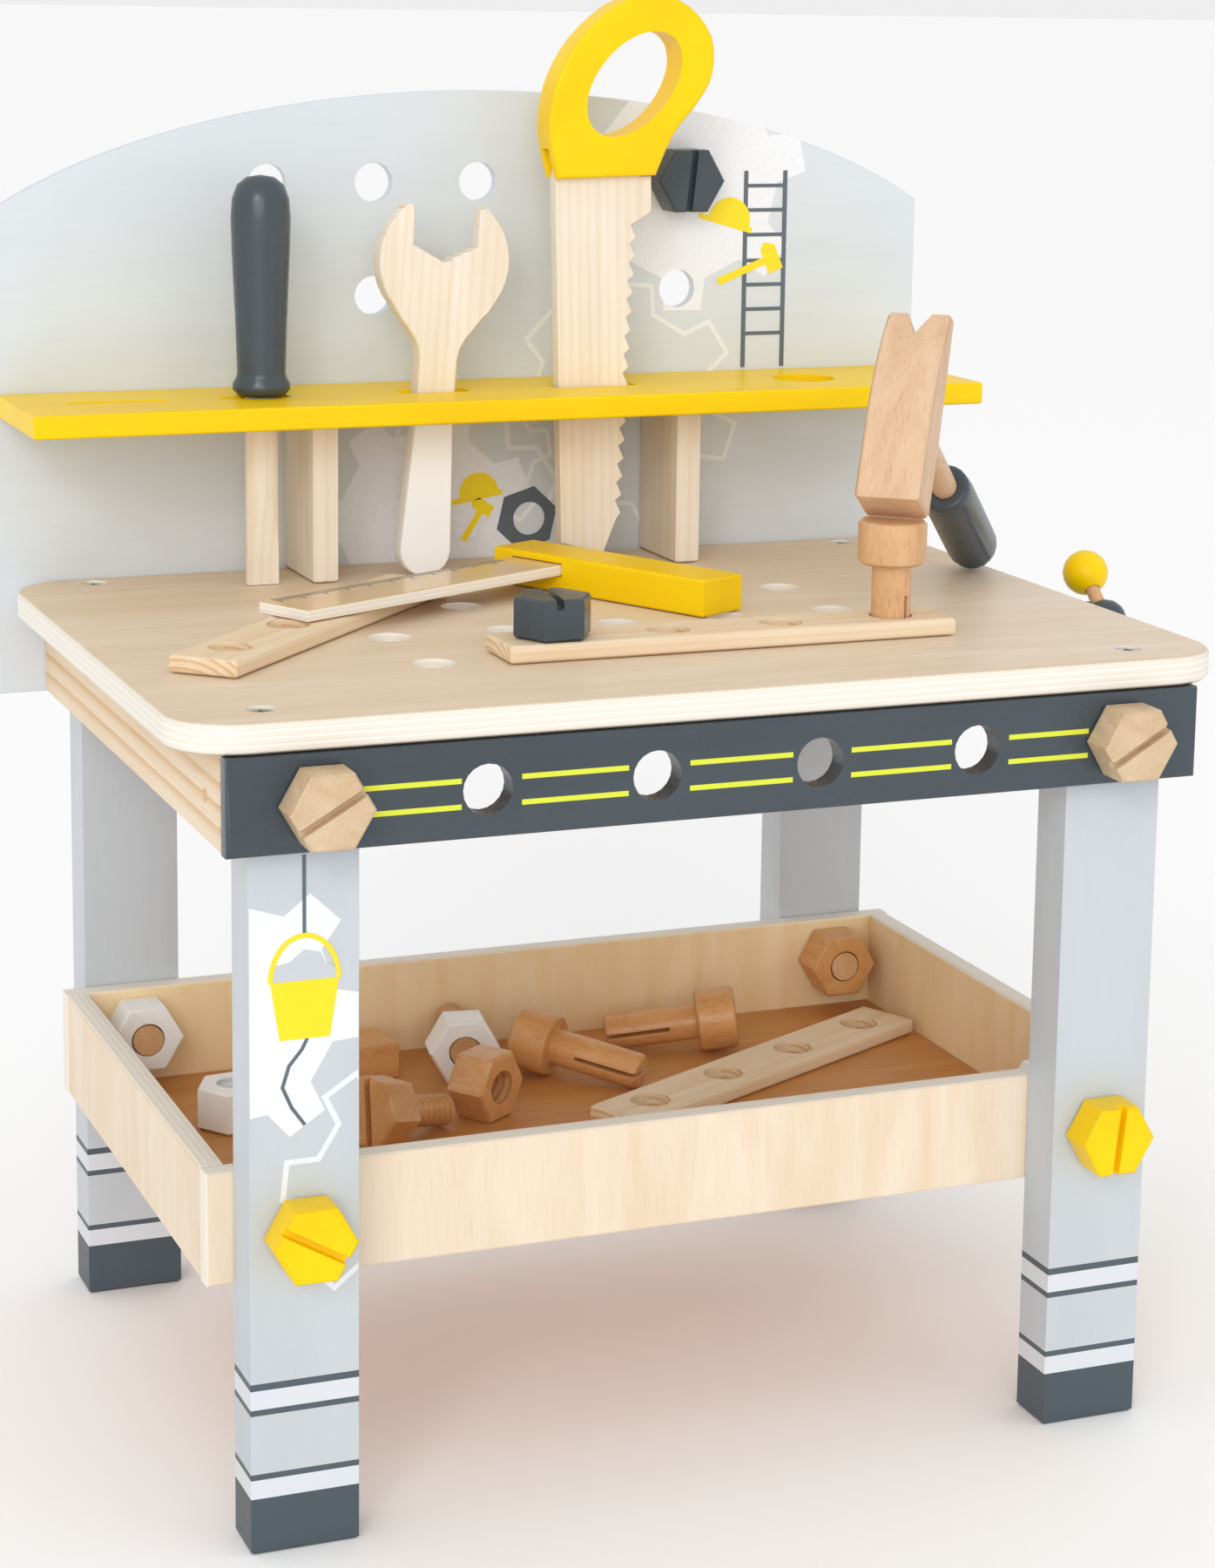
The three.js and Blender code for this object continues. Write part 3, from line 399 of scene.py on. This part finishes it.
# The way that each piece's grain runs.
grainOf = {
    "worktop": xAxis, "front_apron": xAxis, "left_apron": yAxis, "right_apron": yAxis, "back_panel": xAxis,
    "tool_shelf": xAxis, "shelf_post_left": zAxis, "shelf_post_right": zAxis, "tray_front_wall": zAxis,
    "tray_rear_wall": zAxis, "tray_left_wall": zAxis, "tray_right_wall": zAxis, "tray_floor": xAxis,
    "screwdriver_handle": zAxis, "screwdriver_shaft": zAxis, "wrench": headed(0, -86.2),
    "saw_blade": headed(180, -88.4), "saw_handle": headed(45), "work_strip": xAxis,
    "crossed_strip": headed(46.9), "tray_strip": headed(27), "strip_bolt": zAxis, "work_peg": zAxis,
    "square_stock": headed(117), "square_blade": headed(27), "tray_peg_left": headed(-45),
    "tray_peg_right": headed(160), "loose_bolt": headed(29.7), "loose_nut": headed(-55.4), "white_nut": zAxis,
    "stud_nut": headed(-101), "threaded_stud": headed(-101), "block": xAxis, "vice_jaw": yAxis,
    "vice_guide": xAxis, "vice_spindle": xAxis, "vice_bar": viceBarAlong, "vice_ball_top": viceBarAlong,
    "vice_ball_bottom": viceBarAlong, "hammer_head": (0.306, 0.372, 0.876), "hammer_handle": hammerAlong,
    "hammer_grip": hammerAlong,
}
paintOf = {"light_grey_paint": "lightGrey", "dark_grey_paint": "darkGrey", "yellow_paint": "yellow",
           "white_paint": "white"}
plyAcross = {"worktop": "z", "tray_front_wall": "y", "tray_rear_wall": "y", "tray_left_wall": "x",
             "tray_right_wall": "x", "square_blade": "z"}
plyThick = {"usual": 1.33, "square_blade": 1.0}   # one veneer, in millimetres
kindOf = {"hammer_head": "paleBeech", "screwdriver_shaft": "pine", "hammer_handle": "paleBeech",
          "apron_left_bolt": "boltBeech", "apron_right_bolt": "boltBeech", "square_blade": "varnishedBirch",
          # the pieces that lie in the tray take the more orange beech as painted shade
          "tray_peg_left": "amberBeech", "tray_peg_right": "amberBeech", "loose_bolt": "amberBeech",
          "loose_nut": "amberBeech", "block": "amberBeech", "tray_rear_right_nut": "amberBeech",
          # the tray's rear and right walls take the lighter, warmer ply as painted light
          "tray_floor": "trayFloor", "tray_rear_wall": "paintedLightBirch", "tray_right_wall": "paintedLightBirch",
          "tray_rear_left_nut": "amberBeech", "left_apron": "boldPine", "right_apron": "boldPine",
          # the strips take the darker pine as painted shade
          "work_strip": "shadedStripPine", "crossed_strip": "shadedStripPine", "tray_strip": "shadedStripPine"}
varnishGloss = 0.3   # how much smoother the clear varnish is than bare satin
dip = {"paint": "#F6F6F4", "belowShelfTop": 3}


# The wrench's grip is dipped in white up to a level hidden in the shelf.
def dipInPaint(material, level):
    tree = material.node_tree
    surface = tree.nodes["Principled BSDF"]
    bare = surface.inputs["Base Color"].links[0].from_socket
    place = addNode(tree, "TexCoord")
    height = addNode(tree, "SeparateXYZ", Vector=place.outputs["Object"]).outputs[2]
    dipped = addNode(tree, "Math", {"operation": "LESS_THAN"}, pin0=height, pin1=level)
    covered = addNode(tree, "Mix", {"data_type": "RGBA"}, pin0=dipped.outputs[0], pin6=bare,
                      pin7=linear(dip["paint"]))
    tree.links.new(covered.outputs[2], surface.inputs["Base Color"])


def finishOf(node):
    middle = middleOf(node)
    along = grainOf.get(node, yAxis)
    slotName = slotOf[node]
    if "_leg_" in node:
        return legMaterial(f"satin_grey_{node}", middle)
    if slotName in paintOf:
        return paintMaterial(f"satin_paint_{node}", paintOf[slotName], middle, along)
    if slotName in ("birch_ply", "varnished_ply"):
        layers = None
        if node in plyAcross:
            low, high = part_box(node)
            place = "xyz".index(plyAcross[node])
            thick = plyThick.get(node, plyThick["usual"])
            layers = {"across": plyAcross[node], "from": low[place], "ply": thick}
        kind = kindOf.get(node, "trayBirch" if node.startswith("tray") else "birch")
        gloss = varnishGloss if slotName == "varnished_ply" else 0.0
        return woodMaterial(f"birch_plywood_{node}", kind, middle, along, layers, gloss)
    kind = kindOf.get(node, slotName)
    material = woodMaterial(f"{slotName}_{node}", kind, middle, along)
    if node == "wrench":
        dipInPaint(material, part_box("tool_shelf")[1].z - dip["belowShelfTop"] * mm)
    return material


def eased(node, rim):
    source = nodes[node]
    choose(source)
    bpy.ops.object.duplicate()
    piece = bpy.context.object
    del piece["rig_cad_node"]
    piece.parent = None
    bpy.ops.mesh.customdata_custom_splitnormals_clear()
    bpy.ops.object.mode_set(mode="EDIT")
    bpy.ops.mesh.select_all(action="SELECT")
    bpy.ops.mesh.remove_doubles(threshold=0.002 * mm)
    bpy.ops.mesh.dissolve_limited(angle_limit=math.radians(0.5))
    bpy.ops.object.mode_set(mode="OBJECT")
    if rim:
        modify(piece, "BEVEL", width=rim * mm, segments=2, limit_method="ANGLE", angle_limit=math.radians(55),
               use_clamp_overlap=True)
    finishShading(piece)
    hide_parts(node)
    return wear(piece, node + "_finished", bodyOf[node], finishOf(node))


rims = {"worktop": 0.5, "back_panel": 0.5, "front_apron": 0.6, "tool_shelf": 0.5}
for node in sorted(nodes):
    eased(node, rims.get(node, 0.3))
print("wooden pieces finished:", len(nodes))

# A turned wooden screw thread, cut by a three-sided worm that is swept along the axis.
thread = {"pitch": 3.6, "deep": 1.15, "halfWidth": 0.44, "steps": 28, "overrun": 1.5, "flat": 60, "smooth": 40}


def worm(radius, length, start, along, inside):
    way = -1 if inside else 1
    bpy.ops.mesh.primitive_circle_add(vertices=3, radius=1, fill_type="NOTHING", rotation=(math.pi / 2, 0, 0))
    cutter = settle(bpy.context.object)
    choose(cutter)
    bpy.ops.object.mode_set(mode="EDIT")
    bpy.ops.mesh.select_all(action="SELECT")
    bpy.ops.transform.rotate(value=math.pi / 2 * way, orient_axis="Y", center_override=(0, 0, 0))
    groove = thread["pitch"] * thread["halfWidth"] * mm
    bpy.ops.transform.resize(value=(thread["deep"] * mm, 1, groove), center_override=(0, 0, 0))
    bpy.ops.transform.translate(value=(radius * mm, 0, 0))
    bpy.ops.object.mode_set(mode="OBJECT")
    turns = math.ceil((length + 2 * thread["overrun"]) / thread["pitch"])
    modify(cutter, "SCREW", axis="Z", angle=math.tau, steps=thread["steps"], render_steps=thread["steps"],
           screw_offset=thread["pitch"] * mm, iterations=turns, use_smooth_shade=False)
    bpy.ops.object.mode_set(mode="EDIT")
    bpy.ops.mesh.select_mode(type="EDGE")
    bpy.ops.mesh.select_all(action="DESELECT")
    bpy.ops.mesh.select_non_manifold()
    bpy.ops.mesh.fill_holes(sides=3)
    bpy.ops.mesh.select_all(action="SELECT")
    bpy.ops.mesh.normals_make_consistent(inside=False)
    bpy.ops.object.mode_set(mode="OBJECT")
    heading = Vector(along).normalized()
    cutter.rotation_euler = heading.to_track_quat("Z", "Y").to_euler()
    cutter.location = start - heading * thread["overrun"] * mm
    return settle(cutter)


# The flat end that a turned piece shows in the given heading.
def flatEnd(piece, heading):
    way = Vector(heading).normalized()
    flats = [side for side in piece.data.polygons
             if side.area > thread["flat"] * mm * mm and side.normal.dot(way) > 0.9]
    return max(flats, key=lambda side: side.center.dot(way))


def middleOfPiece(piece):
    return sum((corner.co for corner in piece.data.vertices), Vector()) / len(piece.data.vertices)


print("cutting the wooden threads")
threaded = {"radius": 6.75, "bore": 7.3, "nutThick": 18, "boltThread": 20, "studThread": 26}
boltWay, studWay = Vector(grainOf["loose_bolt"]), -Vector(grainOf["threaded_stud"])
for rod, heading, length in (("loose_bolt", boltWay, threaded["boltThread"]),
                             ("threaded_stud", studWay, threaded["studThread"])):
    rodPiece = bpy.data.objects[rod + "_finished"]
    tip = flatEnd(rodPiece, heading)
    carve(rodPiece, worm(threaded["radius"], length, tip.center.copy(), -tip.normal, False))
    finishShading(rodPiece, thread["smooth"])
for nut in ("loose_nut", "white_nut", "stud_nut"):
    nutPiece = bpy.data.objects[nut + "_finished"]
    way = flatEnd(nutPiece, grainOf[nut]).normal.copy()
    start = middleOfPiece(nutPiece) - way * threaded["nutThick"] / 2 * mm
    carve(nutPiece, worm(threaded["bore"], threaded["nutThick"], start, way, True))
    finishShading(nutPiece, thread["smooth"])


# Scale marks are printed along the far edge of the square's blade.
ruler = {"turn": 27, "marks": 54, "longEvery": 5, "step": 2.5, "first": 6, "short": 4.2, "long": 7.0,
         "wide": 1.0, "edge": 0.7, "high": 0.12}


def scaleMarks():
    blade = bpy.data.objects["square_blade_finished"]
    along, up = Vector(headed(ruler["turn"])), Vector(zAxis)
    across = up.cross(along)
    spans = {}
    for name, way in (("along", along), ("across", across), ("up", up)):
        reach = [corner.co.dot(way) for corner in blade.data.vertices]
        spans[name] = (min(reach), max(reach))
    marks = []
    for place in range(ruler["marks"]):
        long = ruler["long"] if place % ruler["longEvery"] == 0 else ruler["short"]
        centre = (along * (spans["along"][0] + (ruler["first"] + place * ruler["step"]) * mm)
                  + across * (spans["across"][1] - (ruler["edge"] + long / 2) * mm) + up * spans["up"][1])
        size = (ruler["wide"], long, ruler["high"])
        marks.append(block(size, centre, (0, 0, math.radians(ruler["turn"]))))
    return joinUp(*marks)


# Wooden plugs close the screw holes in the side aprons.
plug = {"radius": 2.6, "proud": 0.25, "depth": 3, "sides": 28, "rim": 0.2, "places": ((-121, 288), (134, 300))}


def plugPiece(side, y, z):
    low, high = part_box("left_apron" if side < 0 else "right_apron")
    face = low.x if side < 0 else high.x
    at = Vector((face + side * (plug["proud"] - plug["depth"] / 2) * mm, spot(0, y, 0).y, z * mm))
    piece = disc(plug["radius"], plug["depth"], at, "x", plug["sides"])
    modify(piece, "BEVEL", width=plug["rim"] * mm, segments=2, limit_method="ANGLE",
           angle_limit=math.radians(60))
    return finishShading(piece)


# Screen-printed pictures are thin films of ink on the paint.
inks = {
    "ground": inkMaterial("ink_pale_blue_white", "#E9ECF2"),
    "grey": inkMaterial("ink_mid_grey", "#C3C8CC"),
    "line": inkMaterial("ink_white", "#E4E8EB"),
    "dark": inkMaterial("ink_slate", "#5B666E"),
    "yellow": inkMaterial("ink_yellow", "#F6DC0A"),
    "lime": inkMaterial("ink_lime", "#D9E036"),
}
film = 0.10     # thickness of one layer of ink
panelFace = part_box("back_panel")[0].y
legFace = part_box("front_leg_left")[0].y
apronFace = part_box("front_apron")[0].y


def onFace(face, x, z, layer=0):
    return Vector((benchMid.x + x * mm, face - film * mm * layer, z * mm))


# A single vertex is walked round the outline by extruding it.
def walkedLine(face, outline, closed):
    corners = [onFace(face, x, z) for x, z in outline]
    bpy.ops.mesh.primitive_plane_add(size=mm, location=corners[0])
    bpy.ops.object.mode_set(mode="EDIT")
    bpy.ops.mesh.select_mode(type="VERT")
    bpy.ops.mesh.merge(type="CENTER")
    ends = corners[1:] + corners[:1] if closed else corners[1:]
    for before, after in zip(corners, ends):
        bpy.ops.mesh.extrude_region_move(TRANSFORM_OT_translate={"value": after - before})
    bpy.ops.mesh.select_all(action="SELECT")
    bpy.ops.mesh.remove_doubles(threshold=0.01 * mm)


def outwards(piece):
    choose(piece)
    bpy.ops.object.mode_set(mode="EDIT")
    bpy.ops.mesh.select_all(action="SELECT")
    bpy.ops.mesh.normals_make_consistent(inside=False)
    bpy.ops.object.mode_set(mode="OBJECT")
    return settle(piece)


def inkShape(face, outline, layer=1):
    walkedLine(face, outline, True)
    bpy.ops.mesh.edge_face_add()
    bpy.ops.mesh.extrude_region_move(TRANSFORM_OT_translate={"value": (0, -film * mm * layer, 0)})
    return outwards(bpy.context.object)


# A drawn line is a ribbon standing on the paint, thickened to the line's width.
def inkLine(face, outline, width, layer=2, closed=False):
    walkedLine(face, outline, closed)
    bpy.ops.mesh.extrude_region_move(TRANSFORM_OT_translate={"value": (0, -film * mm * layer, 0)})
    ribbon = outwards(bpy.context.object)
    modify(ribbon, "SOLIDIFY", thickness=width * mm, offset=0, use_even_offset=True)
    return outwards(ribbon)


def around(x, z, radius, degrees):
    turn = math.radians(degrees)
    return (x + radius * math.cos(turn), z + radius * math.sin(turn))


toothFoot, toothTip = 0.27, 0.17   # half the width of a tooth, as a share of the pitch


# A gear's teeth each have a wide foot and a narrower tip.
def gearOutline(gear):
    pitch = 360 / gear["teeth"]
    outline = []
    for tooth in range(gear["teeth"]):
        middle = gear["turn"] + tooth * pitch
        for radius, share in ((gear["root"], -toothFoot), (gear["tip"], -toothTip),
                              (gear["tip"], toothTip), (gear["root"], toothFoot)):
            outline.append(around(gear["x"], gear["z"], radius, middle + share * pitch))
    return outline


stencilForward = 3


# The panel itself, moved a little forward, trims a print to the arch and the holes.
def trimToPanel(piece):
    choose(bpy.data.objects["back_panel_finished"])
    bpy.ops.object.duplicate()
    stencil = bpy.context.object
    stencil.location.y -= stencilForward * mm
    return carve(piece, settle(stencil), "INTERSECT")


legLow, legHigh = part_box("front_leg_left")
legTrim = {"rim": 0.35, "deep": 6, "tall": 190, "middle": 170}


def trimToLeg(piece):
    size = ((legHigh.x - legLow.x) / mm - 2 * legTrim["rim"], legTrim["deep"], legTrim["tall"])
    at = ((legLow.x + legHigh.x) / 2, legFace, legTrim["middle"] * mm)
    return carve(piece, block(size, at), "INTERSECT")


def printed(piece, name, ink):
    return wear(piece, name, "bench", inks[ink])


print("printing the panel")
panelGears = {
    "high": {"x": 101, "z": 490, "root": 46, "tip": 60.5, "teeth": 7, "turn": 12},
    "low": {"x": -24, "z": 338, "root": 41, "tip": 52, "teeth": 7, "turn": 23},
    "ring": {"x": 71, "z": 386, "root": 45, "tip": 57.5, "teeth": 7, "turn": 33.5, "line": 2.2,
             "layer": 2},
    "smallRing": {"x": -2, "z": 366, "root": 30, "tip": 38, "teeth": 7, "turn": 8, "line": 2.0,
                  "layer": 2.4},
}
printed(trimToPanel(inkShape(panelFace, gearOutline(panelGears["high"]))), "print_gear_pale_high", "ground")
printed(trimToPanel(inkShape(panelFace, gearOutline(panelGears["low"]))), "print_gear_pale_low", "ground")
for name in ("ring", "smallRing"):
    gear = panelGears[name]
    line = inkLine(panelFace, gearOutline(gear), gear["line"], gear["layer"], True)
    printed(trimToPanel(line), "print_gear_" + name, "line")

ladder = {"left": 131.2, "right": 151, "low": 403, "top": 494, "rail": 2.1, "rung": 1.7,
          "railLayers": 3, "rungLayers": 2.6, "rungs": [487.1, 475.9, 464.5, 452.6, 441.4, 430.0, 418.7]}
middleX, width = (ladder["left"] + ladder["right"]) / 2, ladder["right"] - ladder["left"]
middleZ, height = (ladder["low"] + ladder["top"]) / 2, ladder["top"] - ladder["low"]
railSize = (ladder["rail"], film * ladder["railLayers"], height)
rungSize = (width, film * ladder["rungLayers"], ladder["rung"])
bars = [block(railSize, onFace(panelFace, x, middleZ, ladder["railLayers"] / 2))
        for x in (ladder["left"], ladder["right"])]
bars += [block(rungSize, onFace(panelFace, middleX, z, ladder["rungLayers"] / 2)) for z in ladder["rungs"]]
printed(joinUp(*bars), "print_ladder", "dark")

nutPicture = {"x": 24.8, "z": 336.7, "corner": 15.2, "turn": 17, "hole": 7.6, "holeAside": 1, "holeDeep": 4}
nutOutline = [around(nutPicture["x"], nutPicture["z"], nutPicture["corner"], nutPicture["turn"] + 60 * corner)
              for corner in range(6)]
nutPrint = inkShape(panelFace, nutOutline, 3)
holeAt = onFace(panelFace, nutPicture["x"] + nutPicture["holeAside"], nutPicture["z"])
carve(nutPrint, disc(nutPicture["hole"], nutPicture["holeDeep"], holeAt))
printed(nutPrint, "print_nut", "dark")


# Half an ellipse, from its right end over the top to its left.
def halfRound(aside, high):
    turns = [math.radians(degrees) for degrees in range(0, 181, 15)]
    return [(aside * math.cos(turn), high * math.sin(turn)) for turn in turns]


# A shape drawn about its own origin is turned and put in a picture's place.
def placed(shape, picture):
    return [around(picture["x"], picture["z"], math.hypot(x, z),
                   math.degrees(math.atan2(z, x)) + picture["turn"]) for x, z in shape]


# A builder's helmet: a dome over a brim.
def helmetOutline(helmet):
    back, front = -helmet["width"] * 0.72, helmet["width"] * 0.58
    brim = [(back, 0), (back, -helmet["brim"]), (front, -helmet["brim"]), (front, 0)]
    return placed(halfRound(helmet["width"] / 2, helmet["height"]) + brim, helmet)


# A hammer: a handle and a head across it, drawn along the given turn.
def hammerOutline(hammer):
    shaft, head, long, deep = hammer["shaft"], hammer["head"], hammer["length"], hammer["deep"]
    shape = [(0, -shaft), (long, -shaft), (long, -head), (long + deep, -head), (long + deep, head * 0.8),
             (long + deep * 0.35, head * 1.25), (long, head * 0.8), (long, shaft), (0, shaft)]   # with a claw
    return placed(shape, hammer)


panelPictures = {
    "helmetHigh": {"x": 123, "z": 471, "width": 21, "height": 11, "brim": 2.6, "turn": -16},
    "hammerHigh": {"x": 118, "z": 443, "shaft": 1.7, "head": 6.5, "length": 25, "deep": 7.5, "turn": 22},
    "helmetLow": {"x": 1.5, "z": 349, "width": 19, "height": 10, "brim": 2.4, "turn": 10},
    "hammerLow": {"x": -6, "z": 328, "shaft": 1.4, "head": 4.8, "length": 15, "deep": 5.5, "turn": 58},
}
for name, picture in panelPictures.items():
    outline = helmetOutline(picture) if "brim" in picture else hammerOutline(picture)
    printed(inkShape(panelFace, outline, 4), "print_" + name, "yellow")

wear(scaleMarks(), "print_square_scale", "square", inks["dark"])

print("printing the left front leg")
legGears = {
    "ground": {"x": -195, "z": 210, "root": 41, "tip": 53, "teeth": 7, "turn": -5},
    "ring": {"x": -128, "z": 140, "root": 36, "tip": 47.5, "teeth": 7, "turn": 174, "line": 2.2},
}
printed(trimToLeg(inkShape(legFace, gearOutline(legGears["ground"]))), "print_leg_gear_pale", "ground")
legRing = inkLine(legFace, gearOutline(legGears["ring"]), legGears["ring"]["line"], 2, True)
printed(trimToLeg(legRing), "print_leg_gear_ring", "line")

# A pail of stones hangs on a rope, whose loose end trails below.
pail = {"x": -167, "top": 221, "bottom": 199, "wide": 13, "narrow": 9.5, "rope": 1.3, "ropeTop": 268,
        "eye": 238, "bailHigh": 17, "bail": 1.8, "bucketLayer": 4.6, "bailLayer": 5.2, "ropeLayer": 3}
ropeEnd = [(pail["x"] + 1, pail["bottom"]), (pail["x"] - 1, 195), (pail["x"] - 6, 189), (pail["x"] - 8.5, 181),
           (pail["x"] - 5, 173), (pail["x"], 166)]
ropeTop = [(pail["x"], pail["ropeTop"]), (pail["x"], pail["eye"])]
hanging = inkLine(legFace, ropeTop, pail["rope"], pail["ropeLayer"])
trailing = inkLine(legFace, ropeEnd, pail["rope"], pail["ropeLayer"])
printed(joinUp(hanging, trailing), "print_leg_rope", "dark")
bail = [(pail["x"] + x, pail["top"] + z) for x, z in halfRound(pail["wide"], pail["bailHigh"])]
sides = [(-pail["wide"], pail["top"]), (-pail["narrow"], pail["bottom"]), (pail["narrow"], pail["bottom"]),
         (pail["wide"], pail["top"])]
bucket = inkShape(legFace, [(pail["x"] + x, z) for x, z in sides], pail["bucketLayer"])
handle = inkLine(legFace, bail, pail["bail"], pail["bailLayer"])
printed(joinUp(bucket, handle), "print_leg_pail", "yellow")
stones = [
    {"aside": -7, "z": 222.5, "radius": 6.2, "corners": 6, "turn": 10, "layer": 3.3},
    {"aside": 1.5, "z": 225.5, "radius": 7.2, "corners": 7, "turn": 0, "layer": 3.6},
    {"aside": 8.0, "z": 222, "radius": 5.4, "corners": 5, "turn": 30, "layer": 3.9},
]
stoneShapes = []
for stone in stones:
    step = 360 / stone["corners"]
    outline = [around(pail["x"] + stone["aside"], stone["z"], stone["radius"], stone["turn"] + step * corner)
               for corner in range(stone["corners"])]
    stoneShapes.append(inkShape(legFace, outline, stone["layer"]))
printed(joinUp(*stoneShapes), "print_leg_stones", "grey")

print("printing the apron")
apronLines = {"spans": [(-149, -110.5), (-87.1, -45), (-20.3, 21.9), (46.3, 89), (113.9, 149)],
              "levels": (293.3, 283.6), "wide": 2.0, "layers": 1.5}
stripes = []
for left, right in apronLines["spans"]:
    for z in apronLines["levels"]:
        size = (right - left, film * apronLines["layers"], apronLines["wide"])
        stripes.append(block(size, onFace(apronFace, (left + right) / 2, z, apronLines["layers"] / 2)))
printed(joinUp(*stripes), "print_apron_lines", "lime")

# Zinc-plated countersunk screws hold the worktop, each sunk in its bore.
screw = {"head": 4.9, "thick": 1.9, "rim": 0.4, "crossLong": 5.4, "crossWide": 1.1, "crossDeep": 1.3,
         "shank": 2.0, "length": 14, "overlap": 0.2, "lowest": 317.25, "aside": 179.1, "front": -127.45,
         "rear": 137.75}


def zincMaterial():
    # zinc-plated steel: bright grey, with a soft blurred gleam
    material, tree, surface = newMaterial("zinc_plated_steel")
    place = addNode(tree, "TexCoord")
    cloud = addNode(tree, "TexNoise", Vector=place.outputs["Object"], Scale=700.0, Detail=3.0)
    stops = [(0.35, "#B9BBB6"), (0.65, "#D5D6D0")]
    tone = addNode(tree, "ValToRGB", {"stops": stops}, Fac=cloud.outputs["Fac"])
    tree.links.new(tone.outputs["Color"], surface.inputs["Base Color"])
    surface.inputs["Metallic"].default_value = 1.0
    surface.inputs["Roughness"].default_value = 0.32
    return material


def screwPiece():
    head = disc(screw["head"], screw["thick"], spot(0, 0, screw["lowest"] + screw["thick"] / 2), "z", 40)
    modify(head, "BEVEL", width=screw["rim"] * mm, segments=2, limit_method="ANGLE",
           angle_limit=math.radians(60))
    top = screw["lowest"] + screw["thick"]
    for size in ((screw["crossLong"], screw["crossWide"]), (screw["crossWide"], screw["crossLong"])):
        carve(head, block((*size, 2 * screw["crossDeep"]), spot(0, 0, top)))
    shankAt = spot(0, 0, screw["lowest"] - screw["length"] / 2 + screw["overlap"])
    return carve(head, disc(screw["shank"], screw["length"], shankAt, "z", 24), "UNION")


plugWood = woodMaterial("beech_end_grain_plug", "beech", spot(0, 0, 290), xAxis)
for side, apron in ((-1, "left"), (1, "right")):
    for y, z in plug["places"]:
        wear(plugPiece(side, y, z), f"{apron}_apron_plug_{z}", "bench", plugWood)

zinc = zincMaterial()
firstScrew = screwPiece()
for place, (side, y) in enumerate(((-1, "front"), (1, "front"), (-1, "rear"), (1, "rear"))):
    choose(firstScrew)
    bpy.ops.object.duplicate()
    copied = bpy.context.object
    copied.location += Vector((side * screw["aside"] * mm, screw[y] * mm, 0))
    settle(copied)
    finishShading(copied, 35)
    wear(copied, f"worktop_screw_{place + 1}", "bench", zinc)
bpy.data.objects.remove(firstScrew)
print("screws driven in")

print("setting the camera, lights and floor")
cameraSpec = {"x": -499.7, "y": -1268.9, "z": 583.1, "yaw": 21.71, "pitch": -10.06, "roll": 0.76,
              "focal": 76.81, "sensor": 36, "shiftUp": -0.1389}
camera = bpy.data.objects.new("camera", bpy.data.cameras.new("camera"))
bpy.context.scene.collection.objects.link(camera)
bpy.context.scene.camera = camera
aim = (Matrix.Rotation(-math.radians(cameraSpec["yaw"]), 4, "Z")
       @ Matrix.Rotation(math.pi / 2 + math.radians(cameraSpec["pitch"]), 4, "X")
       @ Matrix.Rotation(math.radians(cameraSpec["roll"]), 4, "Z"))
camera.matrix_world = Matrix.Translation(spot(cameraSpec["x"], cameraSpec["y"], cameraSpec["z"])) @ aim
camera.data.lens = cameraSpec["focal"]
camera.data.sensor_width = cameraSpec["sensor"]
camera.data.shift_y = cameraSpec["shiftUp"]
camera.data.clip_end = 50

backdrop = {"colour": "#FFFFFF", "strength": 0.86, "floorSize": 400, "floorRough": 0.8}
frontLight = {"strength": 0.95, "spread": 40, "turn": -24, "height": 16}
studio = {
    "key": {"at": (-1.7, -2.2, 1.9), "size": 0.6, "power": 8},
    "fill": {"at": (2.0, -2.4, 1.0), "size": 2.4, "power": 2},
    "top": {"at": (0.1, 0.0, 2.6), "size": 2.6, "power": 2},
}
lampTarget = Vector((0, 0, 0.3))
for name, look in studio.items():
    bpy.ops.object.light_add(type="AREA", location=look["at"])
    lamp = bpy.context.object
    lamp.name = name + "_light"
    lamp.data.size = look["size"]
    lamp.data.energy = look["power"]
    aimed = lampTarget - Vector(look["at"])
    lamp.rotation_euler = aimed.to_track_quat("-Z", "Y").to_euler()

# A broad, soft light from the front reaches in under the worktop and the shelf.
bpy.ops.object.light_add(type="SUN", location=(0, -2, 2))
sun = bpy.context.object
sun.name = "front_light"
sun.data.energy = frontLight["strength"]
sun.data.angle = math.radians(frontLight["spread"])
sun.rotation_euler = (math.radians(90 - frontLight["height"]), 0, math.radians(frontLight["turn"]))

world = bpy.data.worlds.new("pale_studio")
world.use_nodes = True
world.node_tree.nodes["Background"].inputs["Color"].default_value = linear(backdrop["colour"])
world.node_tree.nodes["Background"].inputs["Strength"].default_value = backdrop["strength"]
bpy.context.scene.world = world
bpy.context.scene.view_settings.view_transform = "Standard"   # white stays white

bpy.ops.mesh.primitive_plane_add(size=backdrop["floorSize"], location=(0, 0, 0))
floor = bpy.context.object
floor.name = "studio_floor"
floorMaterial, _, floorSurface = newMaterial("matt_white_floor")
floorSurface.inputs["Base Color"].default_value = linear(backdrop["colour"])
floorSurface.inputs["Roughness"].default_value = backdrop["floorRough"]
floor.data.materials.append(floorMaterial)
